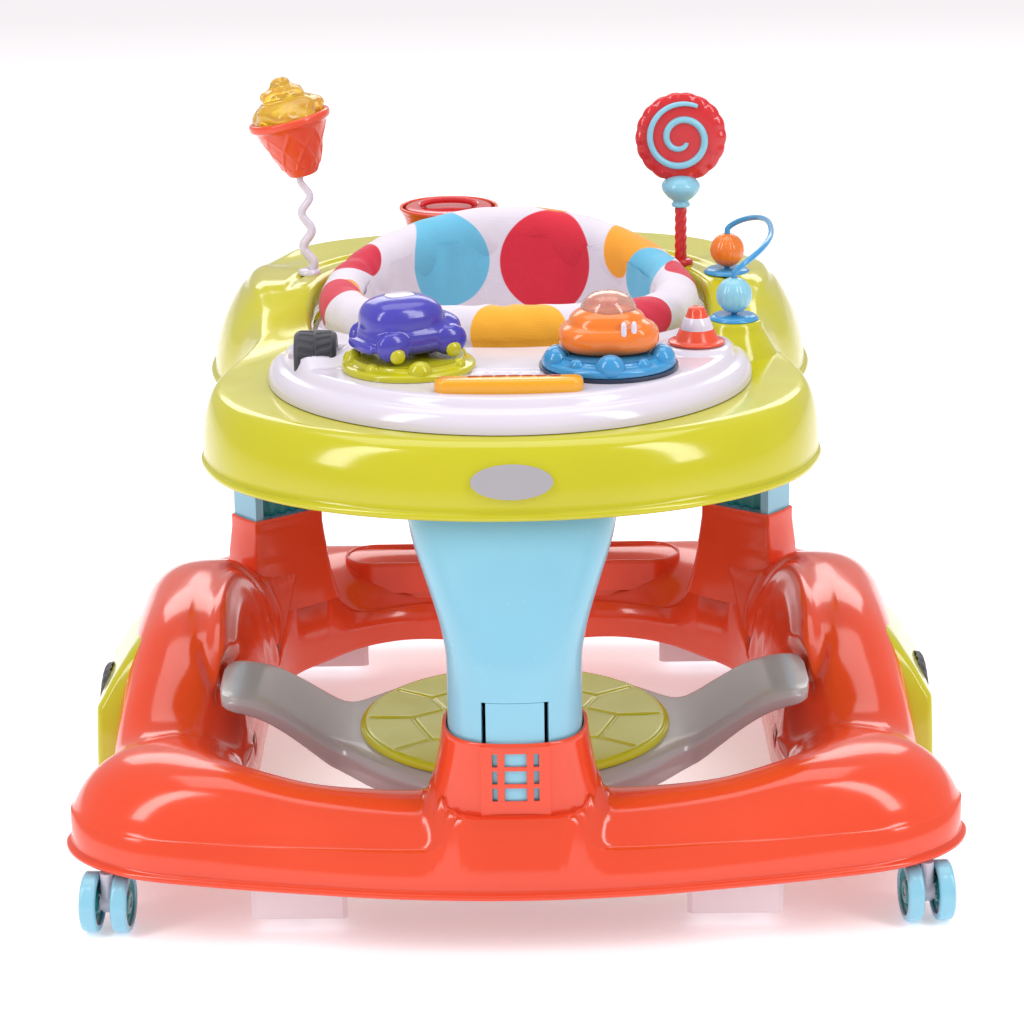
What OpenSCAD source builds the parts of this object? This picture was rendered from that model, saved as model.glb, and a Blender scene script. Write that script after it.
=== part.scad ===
// Baby walker: a wheeled ring base, a height-adjusting upper tray with a padded
// seat, a footrest and a set of toys. Origin on the floor under the middle,
// +X to the right of a person facing the front, +Y to the rear, +Z up.

/* [Base] */
// Width over the front corners of the base
base_w = 714; // [690:2:790]
// Length from the front rim to the rear rim
base_l = 732; // [716:2:790]
// Height of the lower edge of the rim in the middle of the front
rim_z = 46.5; // [46:0.5:52]
// How much higher the rim is at its widest points, over the wheels
rim_lift = 7; // [6.5:0.5:10]
// Crest height of the front and rear bars
bar_z = 114; // [106:1:122]
// Crest height of the two side pods
pod_z = 187; // [176:1:196]
// Width of the hole through the base
hole_w = 448; // [430:2:470]
// Length of the hole through the base
hole_l = 524; // [500:2:536]
// Wall of the moulded shells
shell_wall = 3; // [2.4:0.2:4]
// How far the rolled lip of a rim stands out
lip_w = 5; // [3:0.5:7]

/* [Casters] */
// Wheel diameter
wheel_d = 48; // [44:1:48]
// Wheel width
wheel_w = 13; // [12:1:15]
// Width of the post between the two wheels
post_w = 11; // [10:1:12]
// Distance from the swivel line to the wheel axle
caster_trail = 20; // [16:1:21]
// Gap between the post and each wheel
wheel_gap = 1; // [0.6:0.1:1.5]
// Diameter of the swivel stem
stem_d = 12; // [10:0.5:13]
// Diameter of the wheel axle
axle_d = 6; // [5:0.5:7]
// Running clearance on a radius
run_gap = 0.1; // [0.06:0.02:0.1]

/* [Height adjustment] */
// Half width of the front column inside its socket
column_r = 52.5; // [48:0.5:56]
// Half depth of the front column
column_d = 53; // [50:0.5:54]
// Half width of the column where it meets the tray
column_top_r = 82; // [74:1:86]
// Top of the front socket
socket_z = 173; // [165:1:180]
// Sliding clearance round the column and legs
slide_gap = 1; // [0.8:0.1:1.4]
// Width of the latch tab
latch_w = 45; // [38:1:48]
// How far the tray comes down
height_travel = 30; // [20:1:32]
// Distance between two latch windows
latch_pitch = 14; // [13.5:0.5:15]
// Long side of a rear tower
tower_a = 77; // [70:1:80]
// Short side of a rear tower
tower_b = 43; // [40:1:48]
// Top of the rear towers
tower_z = 203; // [195:1:210]
// Angle of the rear towers seen from above
tower_turn = 38; // [30:1:45]

/* [Tray] */
// Width over the rear of the tray
tray_w = 526; // [510:2:550]
// Length from the front rim to the rear rim of the tray
tray_l = 682; // [666:2:710]
// Height of the rim of the tray
tray_z = 345; // [340:1:352]
// Height of the front deck
deck_z = 400; // [396:1:404]
// Height of the rear deck
rear_deck_z = 428; // [422:1:434]
// Top of the white activity panel
panel_z = 426; // [422:1:430]
// Half width of the activity panel
panel_r = 197; // [190:1:204]

/* [Seat] */
// Width of the opening for the seat
seat_hole_w = 344; // [330:2:350]
// Length of the opening for the seat
seat_hole_l = 352; // [340:2:360]
// Middle of the seat along the walker
seat_y = 80; // [74:1:86]
// Thickness of the padded roll round the seat
roll_d = 46; // [38:1:50]
// Thickness of the seat fabric
fabric_t = 4; // [3:0.5:6]
// Lowest point of the fabric seat
seat_floor_z = 232; // [220:2:260]

/* [Footrest] */
// Diameter of the round standing plate
disc_d = 258; // [240:2:264]
// Height of its surface
disc_z = 110; // [104:1:114]
// Width of the footrest arms
arm_w = 102; // [90:1:106]

/* [Toys] */
// Diameter of the two round bases under the cars
car_base_d = 106; // [96:1:108]
// Diameter of a bead
bead_d = 30; // [26:1:32]
// Travel of the toy buttons
press = 3; // [2:0.5:4]

/* [Hidden] */

ORANGE = "#e8593a";
LIME = "#c3c82a";
SKY = "#97cde0";
TEAL = "#2fa6a8";
WHITE = "#efebf2";
GREY = "#a9a3a3";
DARK = "#3a3a40";
RED = "#d93636";

// Small general helpers
function mix(a, b, t) = a + (b - a) * t;
function power(v, p) = pow(max(v, 0), 2 / p);
// Catmull-Rom curve through four rows
function curve(a, b, c, d, t) =
    0.5 * (2 * b + (c - a) * t + (2 * a - 5 * b + 4 * c - d) * t * t
    + (3 * b - a - 3 * c + d) * t * t * t);
// A row reflected in the middle plane, where columns 0 and 2 are across the walker
function reflected(r) = [for (i = [0:len(r) - 1]) (i == 0 || i == 2) ? -r[i] : r[i]];
function row_at(rows, i) = i < 0 ? reflected(rows[-i])
    : i >= len(rows) ? reflected(rows[2 * len(rows) - 2 - i]) : rows[i];
// Rows round the right half, then the same ones back up the left half
function half_loop(rows, steps) = [for (i = [0:len(rows) - 2], k = [0:steps - 1])
    curve(row_at(rows, i - 1), row_at(rows, i), row_at(rows, i + 1), row_at(rows, i + 2), k / steps)];
function whole_loop(rows, steps) = let (h = half_loop(rows, steps), n = len(h))
    concat(h, [rows[len(rows) - 1]], [for (i = [n - 1:-1:1]) reflected(h[i])]);
// A closed tube: rings of equal length joined in a loop
module loop_tube(rings) {
    n = len(rings);
    m = len(rings[0]);
    polyhedron(points = [for (r = rings, p = r) p],
        faces = [for (i = [0:n - 1], j = [0:m - 1])
            let (a = i * m + j, b = i * m + (j + 1) % m, c = ((i + 1) % n) * m + (j + 1) % m,
                d = ((i + 1) % n) * m + j) each [[a, b, c], [a, c, d]]]);
}
// A rod with flat ends: rings of equal length joined end to end
module rod(rings) {
    n = len(rings);
    m = len(rings[0]);
    polyhedron(points = [for (r = rings, p = r) p],
        faces = concat([[for (j = [0:m - 1]) j]], [[for (j = [m - 1:-1:0]) (n - 1) * m + j]],
            [for (i = [0:n - 2], j = [0:m - 1])
                let (a = i * m + j, b = i * m + (j + 1) % m, c = a + m, d = b + m)
                each [[a, d, b], [a, c, d]]]));
}
// Points of a rounded box outline seen from above
function oval(rx, ry, p, n) = [for (k = [0:n - 1]) let (a = 360 * k / n)
    [rx * sign(cos(a)) * power(abs(cos(a)), p), ry * sign(sin(a)) * power(abs(sin(a)), p)]];
// Rings of a stack: height, half width, half depth, middle along Y
function ring_at(s, p, n) = [for (q = oval(s[1], s[2], p, n)) [q[0], q[1] + s[3], s[0]]];
module stack(slices, p = 2.6, n = 32) {
    for (i = [0:len(slices) - 2])
        hull() rod([ring_at(slices[i], p, n), ring_at(slices[i + 1], p, n)]);
}
module along_x(x = 0) { translate([x, 0, 0]) rotate([0, 90, 0]) children(); }
module both_sides() { children(); mirror([1, 0, 0]) children(); }

// Base ring. Outer point, inner point, and the share of the way from bar crest to pod crest
half_w = base_w / 2;
half_l = base_l / 2;
// Height of the rim's lower edge at a distance across the walker
function rim_at(x) = rim_z + rim_lift * pow(abs(x) / half_w, 2);
ring_rows = [for (r = [
    [0.00, -1.000, 0.00, -1.00, 0.00],
    [0.25, -0.987, 0.38, -1.00, 0.00],
    [0.47, -0.957, 0.67, -1.00, 0.06],
    [0.67, -0.925, 0.87, -0.96, 0.20],
    [0.84, -0.885, 0.95, -0.87, 0.24],
    [0.955, -0.805, 0.98, -0.79, 0.24],
    [1.00, -0.700, 0.99, -0.70, 0.19],
    [0.975, -0.600, 0.99, -0.60, 0.07],
    [0.943, -0.500, 0.98, -0.50, 0.17],
    [0.940, -0.350, 0.97, -0.38, 0.57],
    [0.940, -0.180, 0.97, -0.23, 0.88],
    [0.940, 0.020, 0.97, 0.00, 1.00],
    [0.940, 0.220, 0.96, 0.30, 0.97],
    [0.940, 0.410, 0.90, 0.53, 0.63],
    [0.950, 0.570, 0.77, 0.69, 0.33],
    [0.955, 0.730, 0.64, 0.82, 0.20],
    [0.900, 0.875, 0.50, 0.90, 0.17],
    [0.720, 0.965, 0.37, 0.94, 0.14],
    [0.410, 0.990, 0.22, 0.95, 0.11],
    [0.000, 1.000, 0.00, 0.95, 0.11]])
    [r[0] * half_w, r[1] * half_l, r[2] * hole_w / 2, r[3] * hole_l / 2, r[4]]];
ring_steps = 2;
arch_steps = 9;
inner_rim_rise = 8;
lip_h = 4;
// Point at a distance in from the outer edge, on the line to the inner edge
function across(r, d) = let (w = norm([r[2] - r[0], r[3] - r[1]]))
    [mix(r[0], r[2], d / w), mix(r[1], r[3], d / w)];
// Arch over the ring, drawn in by inset
function arch(r, inset) = let (w = norm([r[2] - r[0], r[3] - r[1]]), s = r[4],
        peak = 0.46 + 0.2 * s, top = mix(bar_z, pod_z, s) - inset, p = 2 + 1.3 * s)
    [for (k = [0:arch_steps]) let (a = 180 * k / arch_steps,
        u = a < 90 ? peak * (1 - power(cos(a), p)) : peak + (1 - peak) * power(-cos(a), 2.2),
        foot = rim_at(r[0]) + (a < 90 ? lip_h * 2 : inner_rim_rise),
        v = power(sin(a), a < 90 ? p : 2.2))
        concat(across(r, inset + u * (w - 2 * inset)), mix(foot, top, v))];
function arch_outside(r) = concat([concat(across(r, -lip_w), rim_at(r[0]))],
    [concat(across(r, -lip_w), rim_at(r[0]) + lip_h)], arch(r, 0));
function arch_inside(r) = let (a = arch(r, shell_wall), n = len(a) - 1)
    [for (k = [n:-1:0]) k == 0 ? [a[k][0], a[k][1], rim_at(r[0])] : a[k]];
ring_stations = whole_loop(ring_rows, ring_steps);

module ring_shell() {
    loop_tube([for (r = ring_stations) concat(arch_outside(r), arch_inside(r))]);
}
// The same ring with its lip filled solid, grown by grow
module ring_fill(grow) {
    loop_tube([for (r = ring_stations)
        let (a = arch(r, -grow), n = len(a) - 1, lip = across(r, -lip_w - grow))
        concat([concat(lip, rim_z - 2)], [concat(lip, rim_at(r[0]) + lip_h + grow)], a,
            [[a[n][0], a[n][1], rim_z - 2]])]);
}

// Front socket and column
socket_y = -half_l + 61;
socket_r = column_r + slide_gap + shell_wall;
socket_d = column_d + slide_gap + shell_wall;
window_w = 17;
window_h = 10.5;
side_window_w = 4;
side_window_x = 16;
window_z = 126;
column_z = 96;
module socket_outside() {
    stack([[rim_z + 3.3, socket_r + 26, socket_d - 1, socket_y],
        [90, socket_r + 22, socket_d, socket_y],
        [104, socket_r + 17, socket_d, socket_y],
        [118, socket_r + 11, socket_d, socket_y],
        [134, socket_r + 6, socket_d, socket_y],
        [152, socket_r + 3, socket_d, socket_y],
        [socket_z, socket_r + 1.5, socket_d, socket_y]], 2.6, 40);
}
module socket_hollow() {
    translate([0, socket_y, column_z - height_travel - 3])
        linear_extrude(socket_z)
            polygon(oval(column_r + slide_gap, column_d + slide_gap, 2.6, 40));
}
module socket_windows() {
    for (row = [0:2], x = [-side_window_x, 0, side_window_x])
        translate([x, socket_y - socket_d, window_z + row * latch_pitch + window_h / 2])
            cube([x == 0 ? window_w : side_window_w, 24, window_h], center = true);
}
// Shallow panel round the windows
module socket_panel() {
    translate([-24, socket_y - socket_d - 1, 116]) cube([48, 2, socket_z]);
}

// Rear towers stand under the rear lobes of the tray
tower_x = tray_w / 2 - 48;
tower_y = 170;
tower_foot_z = 96;
module tower_place() { translate([tower_x, tower_y, 0]) rotate(-tower_turn) children(); }
function box_ring(z, a, b) = [for (q = [[-1, -1], [1, -1], [1, 1], [-1, 1]])
    [q[0] * a / 2, q[1] * b / 2, z]];
module tower_outside() {
    levels = [[rim_z + 12.7, 22, 26], [tower_foot_z, 20, 22], [125, 14, 12], [145, 7, 5], [168, 2, 2],
        [tower_z, 0, 0]];
    tower_place() for (i = [0:len(levels) - 2])
        hull() rod([for (v = [levels[i], levels[i + 1]]) box_ring(v[0], tower_a + v[1], tower_b + v[2])]);
}
module tower_hollow() {
    tower_place() translate([0, 0, tower_z / 2])
        cube([tower_a - 2 * shell_wall, tower_b - 2 * shell_wall, tower_z + 2], center = true);
}

// Storage bin in the rear bar
bin_w = 312;
bin_d = 56;
bin_y = half_l - 87;
bin_z = 125;
bin_floor_z = 84;
module bin_shape(grow, z0, z1) {
    translate([0, bin_y, 0]) hull() both_sides()
        translate([bin_w / 2 - bin_d / 2, 0, z0]) cylinder(d = bin_d + 2 * grow, h = z1 - z0, $fn = 32);
}

// Pockets in the pods that hold the ends of the footrest
pocket_gap = 1;
footrest_y = -130;
arm_end_x = hole_w / 2 + 20;
arm_end_z = 148;
arm_h = 25;
arm_end_h = 13;
pocket_low_z = arm_end_z - arm_end_h - 8;
module pocket_box(grow) {
    translate([hole_w / 2 - 30 - grow, footrest_y - arm_w / 2 - pocket_gap - grow, pocket_low_z - grow])
        cube([50 + pocket_gap + 2 * grow, arm_w + 2 * (pocket_gap + grow), arm_end_h + 11 + 2 * grow]);
}

// Casters at the four corners
front_caster = [half_w - 35, half_l - 80];
rear_caster = [half_w - 53, half_l - 88];
socket_top_z = 84;
socket_low_z = 62;
boss_d = 24;
corners = [[-1, -1], [1, -1], [-1, 1], [1, 1]];
module at_corner(c) {
    place = c[1] < 0 ? front_caster : rear_caster;
    translate([c[0] * place[0], c[1] * place[1], 0]) children();
}
pad_x = [172, 178];
pad_y = [-half_l + 68, half_l - 66];
pad_top_z = 62;
module at_pads() {
    for (s = [-1, 1], i = [0, 1]) translate([s * pad_x[i], pad_y[i], 0]) children();
}
module boss_column(d, z) { translate([0, 0, z]) cylinder(d = d, h = 100, $fn = 12); }

module base_shell() {
    color(ORANGE) difference() {
        union() {
            ring_shell();
            difference() {
                union() {
                    socket_outside();
                    both_sides() tower_outside();
                }
                // Keep the flared feet hollow below the crest of the ring
                translate([0, 0, rim_z]) both_sides() tower_place()
                    cube([tower_a + 4.6, tower_b + 4.4, 2 * (tower_foot_z - rim_z) + 0.7], center = true);
            }
            bin_shape(shell_wall, bin_floor_z - shell_wall, bin_z);
            intersection() {
                ring_fill(-1);
                union() {
                    for (c = corners) at_corner(c) boss_column(boss_d - 4, socket_top_z);
                    at_pads() boss_column(16, pad_top_z);
                    both_sides() pocket_box(shell_wall);
                }
            }
        }
        socket_hollow();
        socket_windows();
        socket_panel();
        both_sides() tower_hollow();
        bin_shape(0, bin_floor_z, bin_z + 50);
        both_sides() pocket_box(0);
    }
}
module caster_sockets() {
    color(WHITE) for (c = corners) at_corner(c) translate([0, 0, socket_low_z]) difference() {
        cylinder(d = boss_d, h = socket_top_z - socket_low_z, $fn = 48);
        translate([0, 0, -1])
            cylinder(d = stem_d + 2 * run_gap, h = socket_top_z - socket_low_z - 3, $fn = 48);
    }
}

// Lime side panels shaped like the upper half of a wheel, with a trim tyre and a hub cap
panel_y = -20;
panel_half_l = 90;
panel_top_z = 190;
wheel_z = 60;
panel_face_x = half_w - 4;
tyre_in = 43;
tyre_out = 60;
hub_r = 26;
trim_gap = 0.5;
module on_side() { along_x(0) translate([-wheel_z, panel_y, 0]) children(); }
module below_rim() {
    translate([0, -half_l, -half_w]) cube([base_w, base_l, half_w + rim_at(half_w) - 2]);
}
// Face of the panel seen along the walker: upright by the wheel, then leaning in over the pod
module panel_section() {
    polygon([[half_w * 0.86, 0], [panel_face_x, 0], [panel_face_x, 112], [panel_face_x - 4, 122],
        [panel_face_x - 21, 150], [panel_face_x - 41, 178], [half_w * 0.86, 184]]);
}
module side_panel() {
    difference() {
        intersection() {
            translate([0, half_l, 0]) rotate([90, 0, 0]) linear_extrude(base_l) panel_section();
            translate([0, panel_y, rim_z]) along_x(0)
                linear_extrude(base_w) polygon(oval(panel_top_z - rim_z, panel_half_l, 2.4, 64));
        }
        ring_fill(0.5);
        below_rim();
        on_side() translate([0, 0, panel_face_x - 11.5]) difference() {
            cylinder(r = tyre_out + trim_gap, h = 30, $fn = 64);
            translate([0, 0, -1]) cylinder(r = tyre_in - trim_gap, h = 60, $fn = 64);
        }
        on_side() translate([0, 0, panel_face_x - 10]) cylinder(r = hub_r + trim_gap, h = 40, $fn = 64);
    }
}
module wheel_panel_right() { color(LIME) side_panel(); }
module wheel_panel_left() { color(LIME) mirror([1, 0, 0]) side_panel(); }
module wheel_tyres() {
    color(DARK) both_sides() difference() {
        on_side() translate([0, 0, panel_face_x]) rotate_extrude($fn = 64)
            polygon([[tyre_in, -11], [tyre_out, -11], [tyre_out, -1], [tyre_out - 2, 1],
                [tyre_in + 4, 1.5], [tyre_in, 0.5]]);
        below_rim();
    }
}
module hub_caps() {
    color(SKY) both_sides() difference() {
        on_side() translate([0, 0, panel_face_x - 9.5]) {
            cylinder(r = hub_r, h = 9, $fn = 64);
            translate([0, 0, 9]) cylinder(r1 = hub_r, r2 = hub_r - 10, h = 2.5, $fn = 64);
        }
        below_rim();
    }
}

// Stopper pads and the screws that hold them
pad_low_z = 12;
screw_d = 4;
screw_head_d = 9;
module stopper_pads() {
    color(WHITE) at_pads() difference() {
        union() {
            translate([0, 0, pad_low_z]) linear_extrude(38)
                polygon([[-38, -17], [-34, -20], [34, -20], [38, -17],
                    [32, 17], [28, 20], [-28, 20], [-32, 17]]);
            translate([0, 0, pad_low_z + 38]) cylinder(d = 22, h = pad_top_z - pad_low_z - 38, $fn = 32);
        }
        translate([0, 0, pad_low_z - 1]) cylinder(d = screw_head_d + 1, h = 25, $fn = 32);
        cylinder(d = screw_d + 0.6, h = 100, $fn = 32);
    }
}
module base_screws() {
    color("silver") at_pads() {
        translate([0, 0, pad_low_z + 24 - 3]) cylinder(d = screw_head_d, h = 3, $fn = 32);
        translate([0, 0, pad_low_z + 24])
            cylinder(d = screw_d, h = pad_top_z - pad_low_z - 24.5, $fn = 32);
    }
}

// Footrest: a gull-wing plate with a round standing disc
disc_r = disc_d / 2;
plate_top_z = disc_z - 6;
arm_rise = arm_end_z - plate_top_z;
arm_rows = [[disc_r + 1, 0], [disc_r + 16, 4], [disc_r + 40, 20], [disc_r + 70, 37],
    [arm_end_x - 12, arm_rise], [arm_end_x, arm_rise]];
// Outline of one wing; the drop is smaller towards the end of the arm
function wing(side, drop, cut) = [for (r = arm_rows)
    [side * (r[0] - cut), plate_top_z + r[1] - drop * mix(1, arm_end_h / arm_h, r[1] / arm_rise)]];
function reversed(v) = [for (i = [len(v) - 1:-1:0]) v[i]];
function gull(top, low, cut) = concat(reversed(wing(1, top, cut)), wing(-1, top, cut),
    reversed(wing(-1, low, cut)), wing(1, low, cut));
function plate_plan(cut) = let (r = disc_r + 16 - cut, y = arm_w / 2 - cut, a = asin(y / r) + 24,
        x = arm_end_x + 30, e = hole_w / 2 - 14)
    concat([for (k = [0:10]) let (u = 180 - a + (2 * a - 180) * k / 10) [r * cos(u), r * sin(u)]],
        [[e, y], [x, y], [x, -y], [e, -y]],
        [for (k = [0:10]) let (u = -a - (180 - 2 * a) * k / 10) [r * cos(u), r * sin(u)]],
        [[-e, -y], [-x, -y], [-x, y], [-e, y]]);
// Room for the socket and the front bar
module front_clear() {
    translate([0, socket_y, 0]) linear_extrude(200)
        polygon(oval(socket_r + 30, socket_d + 4, 2.6, 40));
    translate([-half_w, -half_l, 0]) cube([base_w, half_l - hole_l / 2 + 4, 200]);
}
module gull_solid(top, low, cut) {
    intersection() {
        translate([0, footrest_y, 0]) linear_extrude(200) polygon(plate_plan(cut));
        translate([0, half_l, 0]) rotate([90, 0, 0])
            linear_extrude(base_l) polygon(gull(top, low, cut * 0.7));
    }
}
module footrest_plate() {
    color(GREY) difference() {
        gull_solid(0, arm_h, 0);
        gull_solid(4, arm_h + 12, 4);
        translate([0, footrest_y, plate_top_z - 2]) cylinder(d = disc_d - 8, h = 10, $fn = 96);
        front_clear();
    }
}
module footrest_disc() {
    color(LIME) difference() {
        translate([0, footrest_y, plate_top_z - 2]) {
            cylinder(d = disc_d - 9, h = 2.2, $fn = 96);
            translate([0, 0, 2.2]) cylinder(d = disc_d, h = 2, $fn = 96);
            translate([0, 0, 4.2])
                cylinder(d1 = disc_d, d2 = disc_d - 8, h = disc_z - plate_top_z - 2.2, $fn = 96);
        }
        front_clear();
    }
}

// Casters
fork_top_z = 61.5;
neck_z = 52;
post_low_z = 17;
rest_turn = 6;
function trail_turn(c) = atan2(c[1] * cos(rest_turn), c[0] * sin(rest_turn));
module caster_place(c) { at_corner(c) rotate(trail_turn(c)) children(); }
module caster_fork(c) {
    axle_z = wheel_d / 2;
    color(WHITE) caster_place(c) difference() {
        union() {
            translate([0, 0, fork_top_z - 4]) cylinder(d = 30, h = 4, $fn = 48);
            translate([0, 0, fork_top_z])
                cylinder(d = stem_d, h = socket_top_z - fork_top_z - 5, $fn = 48);
            translate([0, 0, neck_z - 1]) cylinder(d = 24, h = fork_top_z - neck_z - 2, $fn = 48);
            translate([0, 0, post_low_z + 8]) cylinder(d = post_w, h = 32, $fn = 48);
            translate([0, -post_w / 2, post_low_z + 8]) cube([caster_trail, post_w, 24]);
            translate([caster_trail, 0, post_low_z]) cylinder(d = post_w, h = 32, $fn = 48);
            translate([caster_trail, 0, axle_z]) rotate([90, 0, 0])
                cylinder(r = 7, h = post_w, center = true, $fn = 48);
        }
        translate([caster_trail, 0, axle_z]) rotate([90, 0, 0])
            cylinder(d = axle_d, h = 60, center = true, $fn = 32);
    }
}
module caster_axle(c) {
    color("silver") caster_place(c) translate([caster_trail, 0, wheel_d / 2]) rotate([90, 0, 0])
        cylinder(d = axle_d, h = post_w + 2 * wheel_w - 2, center = true, $fn = 32);
}
module caster_wheel(c, side) {
    color(SKY) caster_place(c) translate([caster_trail, side * (post_w / 2 + wheel_gap), wheel_d / 2])
        rotate([side * -90, 0, 0]) rotate_extrude($fn = 64)
            polygon([[axle_d / 2 + run_gap, 0], [9, 0], [9, 5], [wheel_d / 2 - 5, 5],
                [wheel_d / 2 - 5, 0], [wheel_d / 2 - 2, 0], [wheel_d / 2, 2], [wheel_d / 2, wheel_w - 4],
                [wheel_d / 2 - 3, wheel_w - 1], [11, wheel_w], [axle_d / 2 + run_gap, wheel_w]]);
}
module caster_fork_fl() { caster_fork(corners[0]); }
module caster_fork_fr() { caster_fork(corners[1]); }
module caster_fork_rl() { caster_fork(corners[2]); }
module caster_fork_rr() { caster_fork(corners[3]); }
module caster_axle_fl() { caster_axle(corners[0]); }
module caster_axle_fr() { caster_axle(corners[1]); }
module caster_axle_rl() { caster_axle(corners[2]); }
module caster_axle_rr() { caster_axle(corners[3]); }
module wheel_fl_inner() { caster_wheel(corners[0], 1); }
module wheel_fl_outer() { caster_wheel(corners[0], -1); }
module wheel_fr_inner() { caster_wheel(corners[1], 1); }
module wheel_fr_outer() { caster_wheel(corners[1], -1); }
module wheel_rl_inner() { caster_wheel(corners[2], 1); }
module wheel_rl_outer() { caster_wheel(corners[2], -1); }
module wheel_rr_inner() { caster_wheel(corners[3], 1); }
module wheel_rr_outer() { caster_wheel(corners[3], -1); }

// Front column, narrow in the socket and wide under the tray
slot_w = 3.4;
latch_top_z = socket_z + 32;
function column_rows(cut) = [
    [column_z - (cut > 0 ? 1 : 0), column_r - cut, column_d - cut, socket_y],
    [latch_top_z + 8, column_r - cut, column_d - cut, socket_y],
    [240, column_r + 2 - cut, column_d - cut, socket_y + 3],
    [261, mix(column_r, column_top_r, 0.24) - cut, column_d - cut, socket_y + 9],
    [289, mix(column_r, column_top_r, 0.57) - cut, column_d + 1 - cut, socket_y + 21],
    [312, mix(column_r, column_top_r, 0.85) - cut, column_d + 1 - cut, socket_y + 31],
    [333, column_top_r - 0.5 - cut, column_d + 1 - cut, socket_y + 38],
    [tray_z + 12, column_top_r - cut, column_d - cut, socket_y + 44],
    [deck_z - 20, column_top_r - 6 - cut, column_d - 8 - cut, socket_y + 52],
    [deck_z - shell_wall - 0.5 + (cut > 0 ? 1 : 0), column_top_r - 12 - cut, column_d - 14 - cut,
        socket_y + 58]];
module front_column() {
    color(SKY) difference() {
        stack(column_rows(0));
        stack(column_rows(shell_wall));
        translate([-latch_w / 2 - slot_w, socket_y - column_d - 1, column_z - 1])
            cube([latch_w + 2 * slot_w, 26, latch_top_z - column_z + 1]);
    }
}
// The latch is the tab cut free in the front of the column, with a tooth behind the windows
module height_latch() {
    color(SKY) {
        intersection() {
            translate([0, socket_y, column_z]) linear_extrude(latch_top_z - column_z - 0.5) difference() {
                polygon(oval(column_r, column_d, 2.6, 40));
                polygon(oval(column_r - shell_wall, column_d - shell_wall, 2.6, 40));
            }
            translate([-latch_w / 2, socket_y - column_d - 1, 0]) cube([latch_w, 22, 400]);
        }
        translate([-window_w / 2 + 1, socket_y - column_d - 0.6, window_z + 2 * latch_pitch + 1.5])
            cube([window_w - 2, 3, window_h - 3]);
    }
}
// Legs slide in the towers; a web stands in the open channel of each
module leg(side) {
    a = tower_a - 2 * shell_wall - 2 * slide_gap;
    b = tower_b - 2 * shell_wall - 2 * slide_gap;
    low = 118;
    top = rear_deck_z - 16;
    color(SKY) mirror([side < 0 ? 1 : 0, 0, 0]) intersection() {
        tower_place() translate([0, 0, low]) difference() {
            translate([-a / 2, -b / 2, 0]) cube([a, b, top - low]);
            translate([-a / 2 + 8, -b / 2 - 1, 82]) cube([a - 16, 9, top - low]);
            translate([-a / 2 + 4, -b / 2 + 12, -1]) cube([a - 8, b - 16, top - low - 46]);
        }
        union() {
            tray_fill(-shell_wall - 0.5);
            translate([0, 0, low - 10]) cube([tray_w, tray_l, tray_z - low + 10]);
        }
    }
}
module rear_leg_right() { leg(1); }
module rear_leg_left() { leg(-1); }

// Tray. Outer point, angle round the seat opening, and the share from front deck to rear deck
tray_mid = tray_l / 2 - 330;
tray_rows = [for (r = [
    [0.000, -1.000, 0, 0.00],
    [0.345, -0.965, 22, 0.00],
    [0.630, -0.865, 40, 0.00],
    [0.837, -0.710, 54, 0.00],
    [0.937, -0.515, 64, 0.00],
    [0.935, -0.350, 70, 0.00],
    [0.886, -0.180, 77, 0.06],
    [0.860, -0.055, 84, 0.25],
    [0.897, 0.090, 91, 0.62],
    [0.970, 0.250, 99, 0.95],
    [1.000, 0.410, 110, 1.00],
    [0.985, 0.570, 122, 1.00],
    [0.905, 0.730, 136, 1.00],
    [0.740, 0.870, 150, 1.00],
    [0.455, 0.965, 165, 1.00],
    [0.000, 1.000, 180, 1.00]])
    [r[0] * tray_w / 2, tray_mid + r[1] * tray_l / 2, seat_hole_w / 2 * sin(r[2]),
        seat_y - seat_hole_l / 2 * cos(r[2]), r[3]]];
tray_steps = 3;
function crown(r, inset) = let (w = norm([r[2] - r[0], r[3] - r[1]]), s = r[4],
        top = mix(deck_z, rear_deck_z, s) - inset, edge = mix(29, 46, s), p = mix(2.3, 1.7, s))
    concat([for (k = [0:6]) let (a = 15 * k, u = inset + (edge - inset) * (1 - power(cos(a), p)))
        concat(across(r, u), mix(tray_z, top, power(sin(a), p)))],
        [concat(across(r, mix(edge, w, 0.45)), top)],
        [concat(across(r, w - 8 - inset), top)],
        [concat(across(r, w - 2 - inset), top - 3)],
        [concat(across(r, w - inset), top - 9)]);
// Lower edge of the wall round the seat opening, inset from it
function well_edge(r, inset) = let (w = norm([r[2] - r[0], r[3] - r[1]]))
    concat(across(r, w - inset), mix(deck_z, rear_deck_z, r[4]) - 26);
function crown_outside(r) = let (lip = across(r, -lip_w + 1))
    concat([concat(lip, tray_z - 3)], [concat(lip, tray_z + 1)], crown(r, 0), [well_edge(r, 0)]);
function crown_inside(r) = let (a = crown(r, shell_wall), n = len(a) - 1)
    concat([well_edge(r, shell_wall)],
        [for (k = [n:-1:0]) k == 0 ? [a[k][0], a[k][1], tray_z - 3] : a[k]]);
tray_stations = whole_loop(tray_rows, tray_steps);
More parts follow.
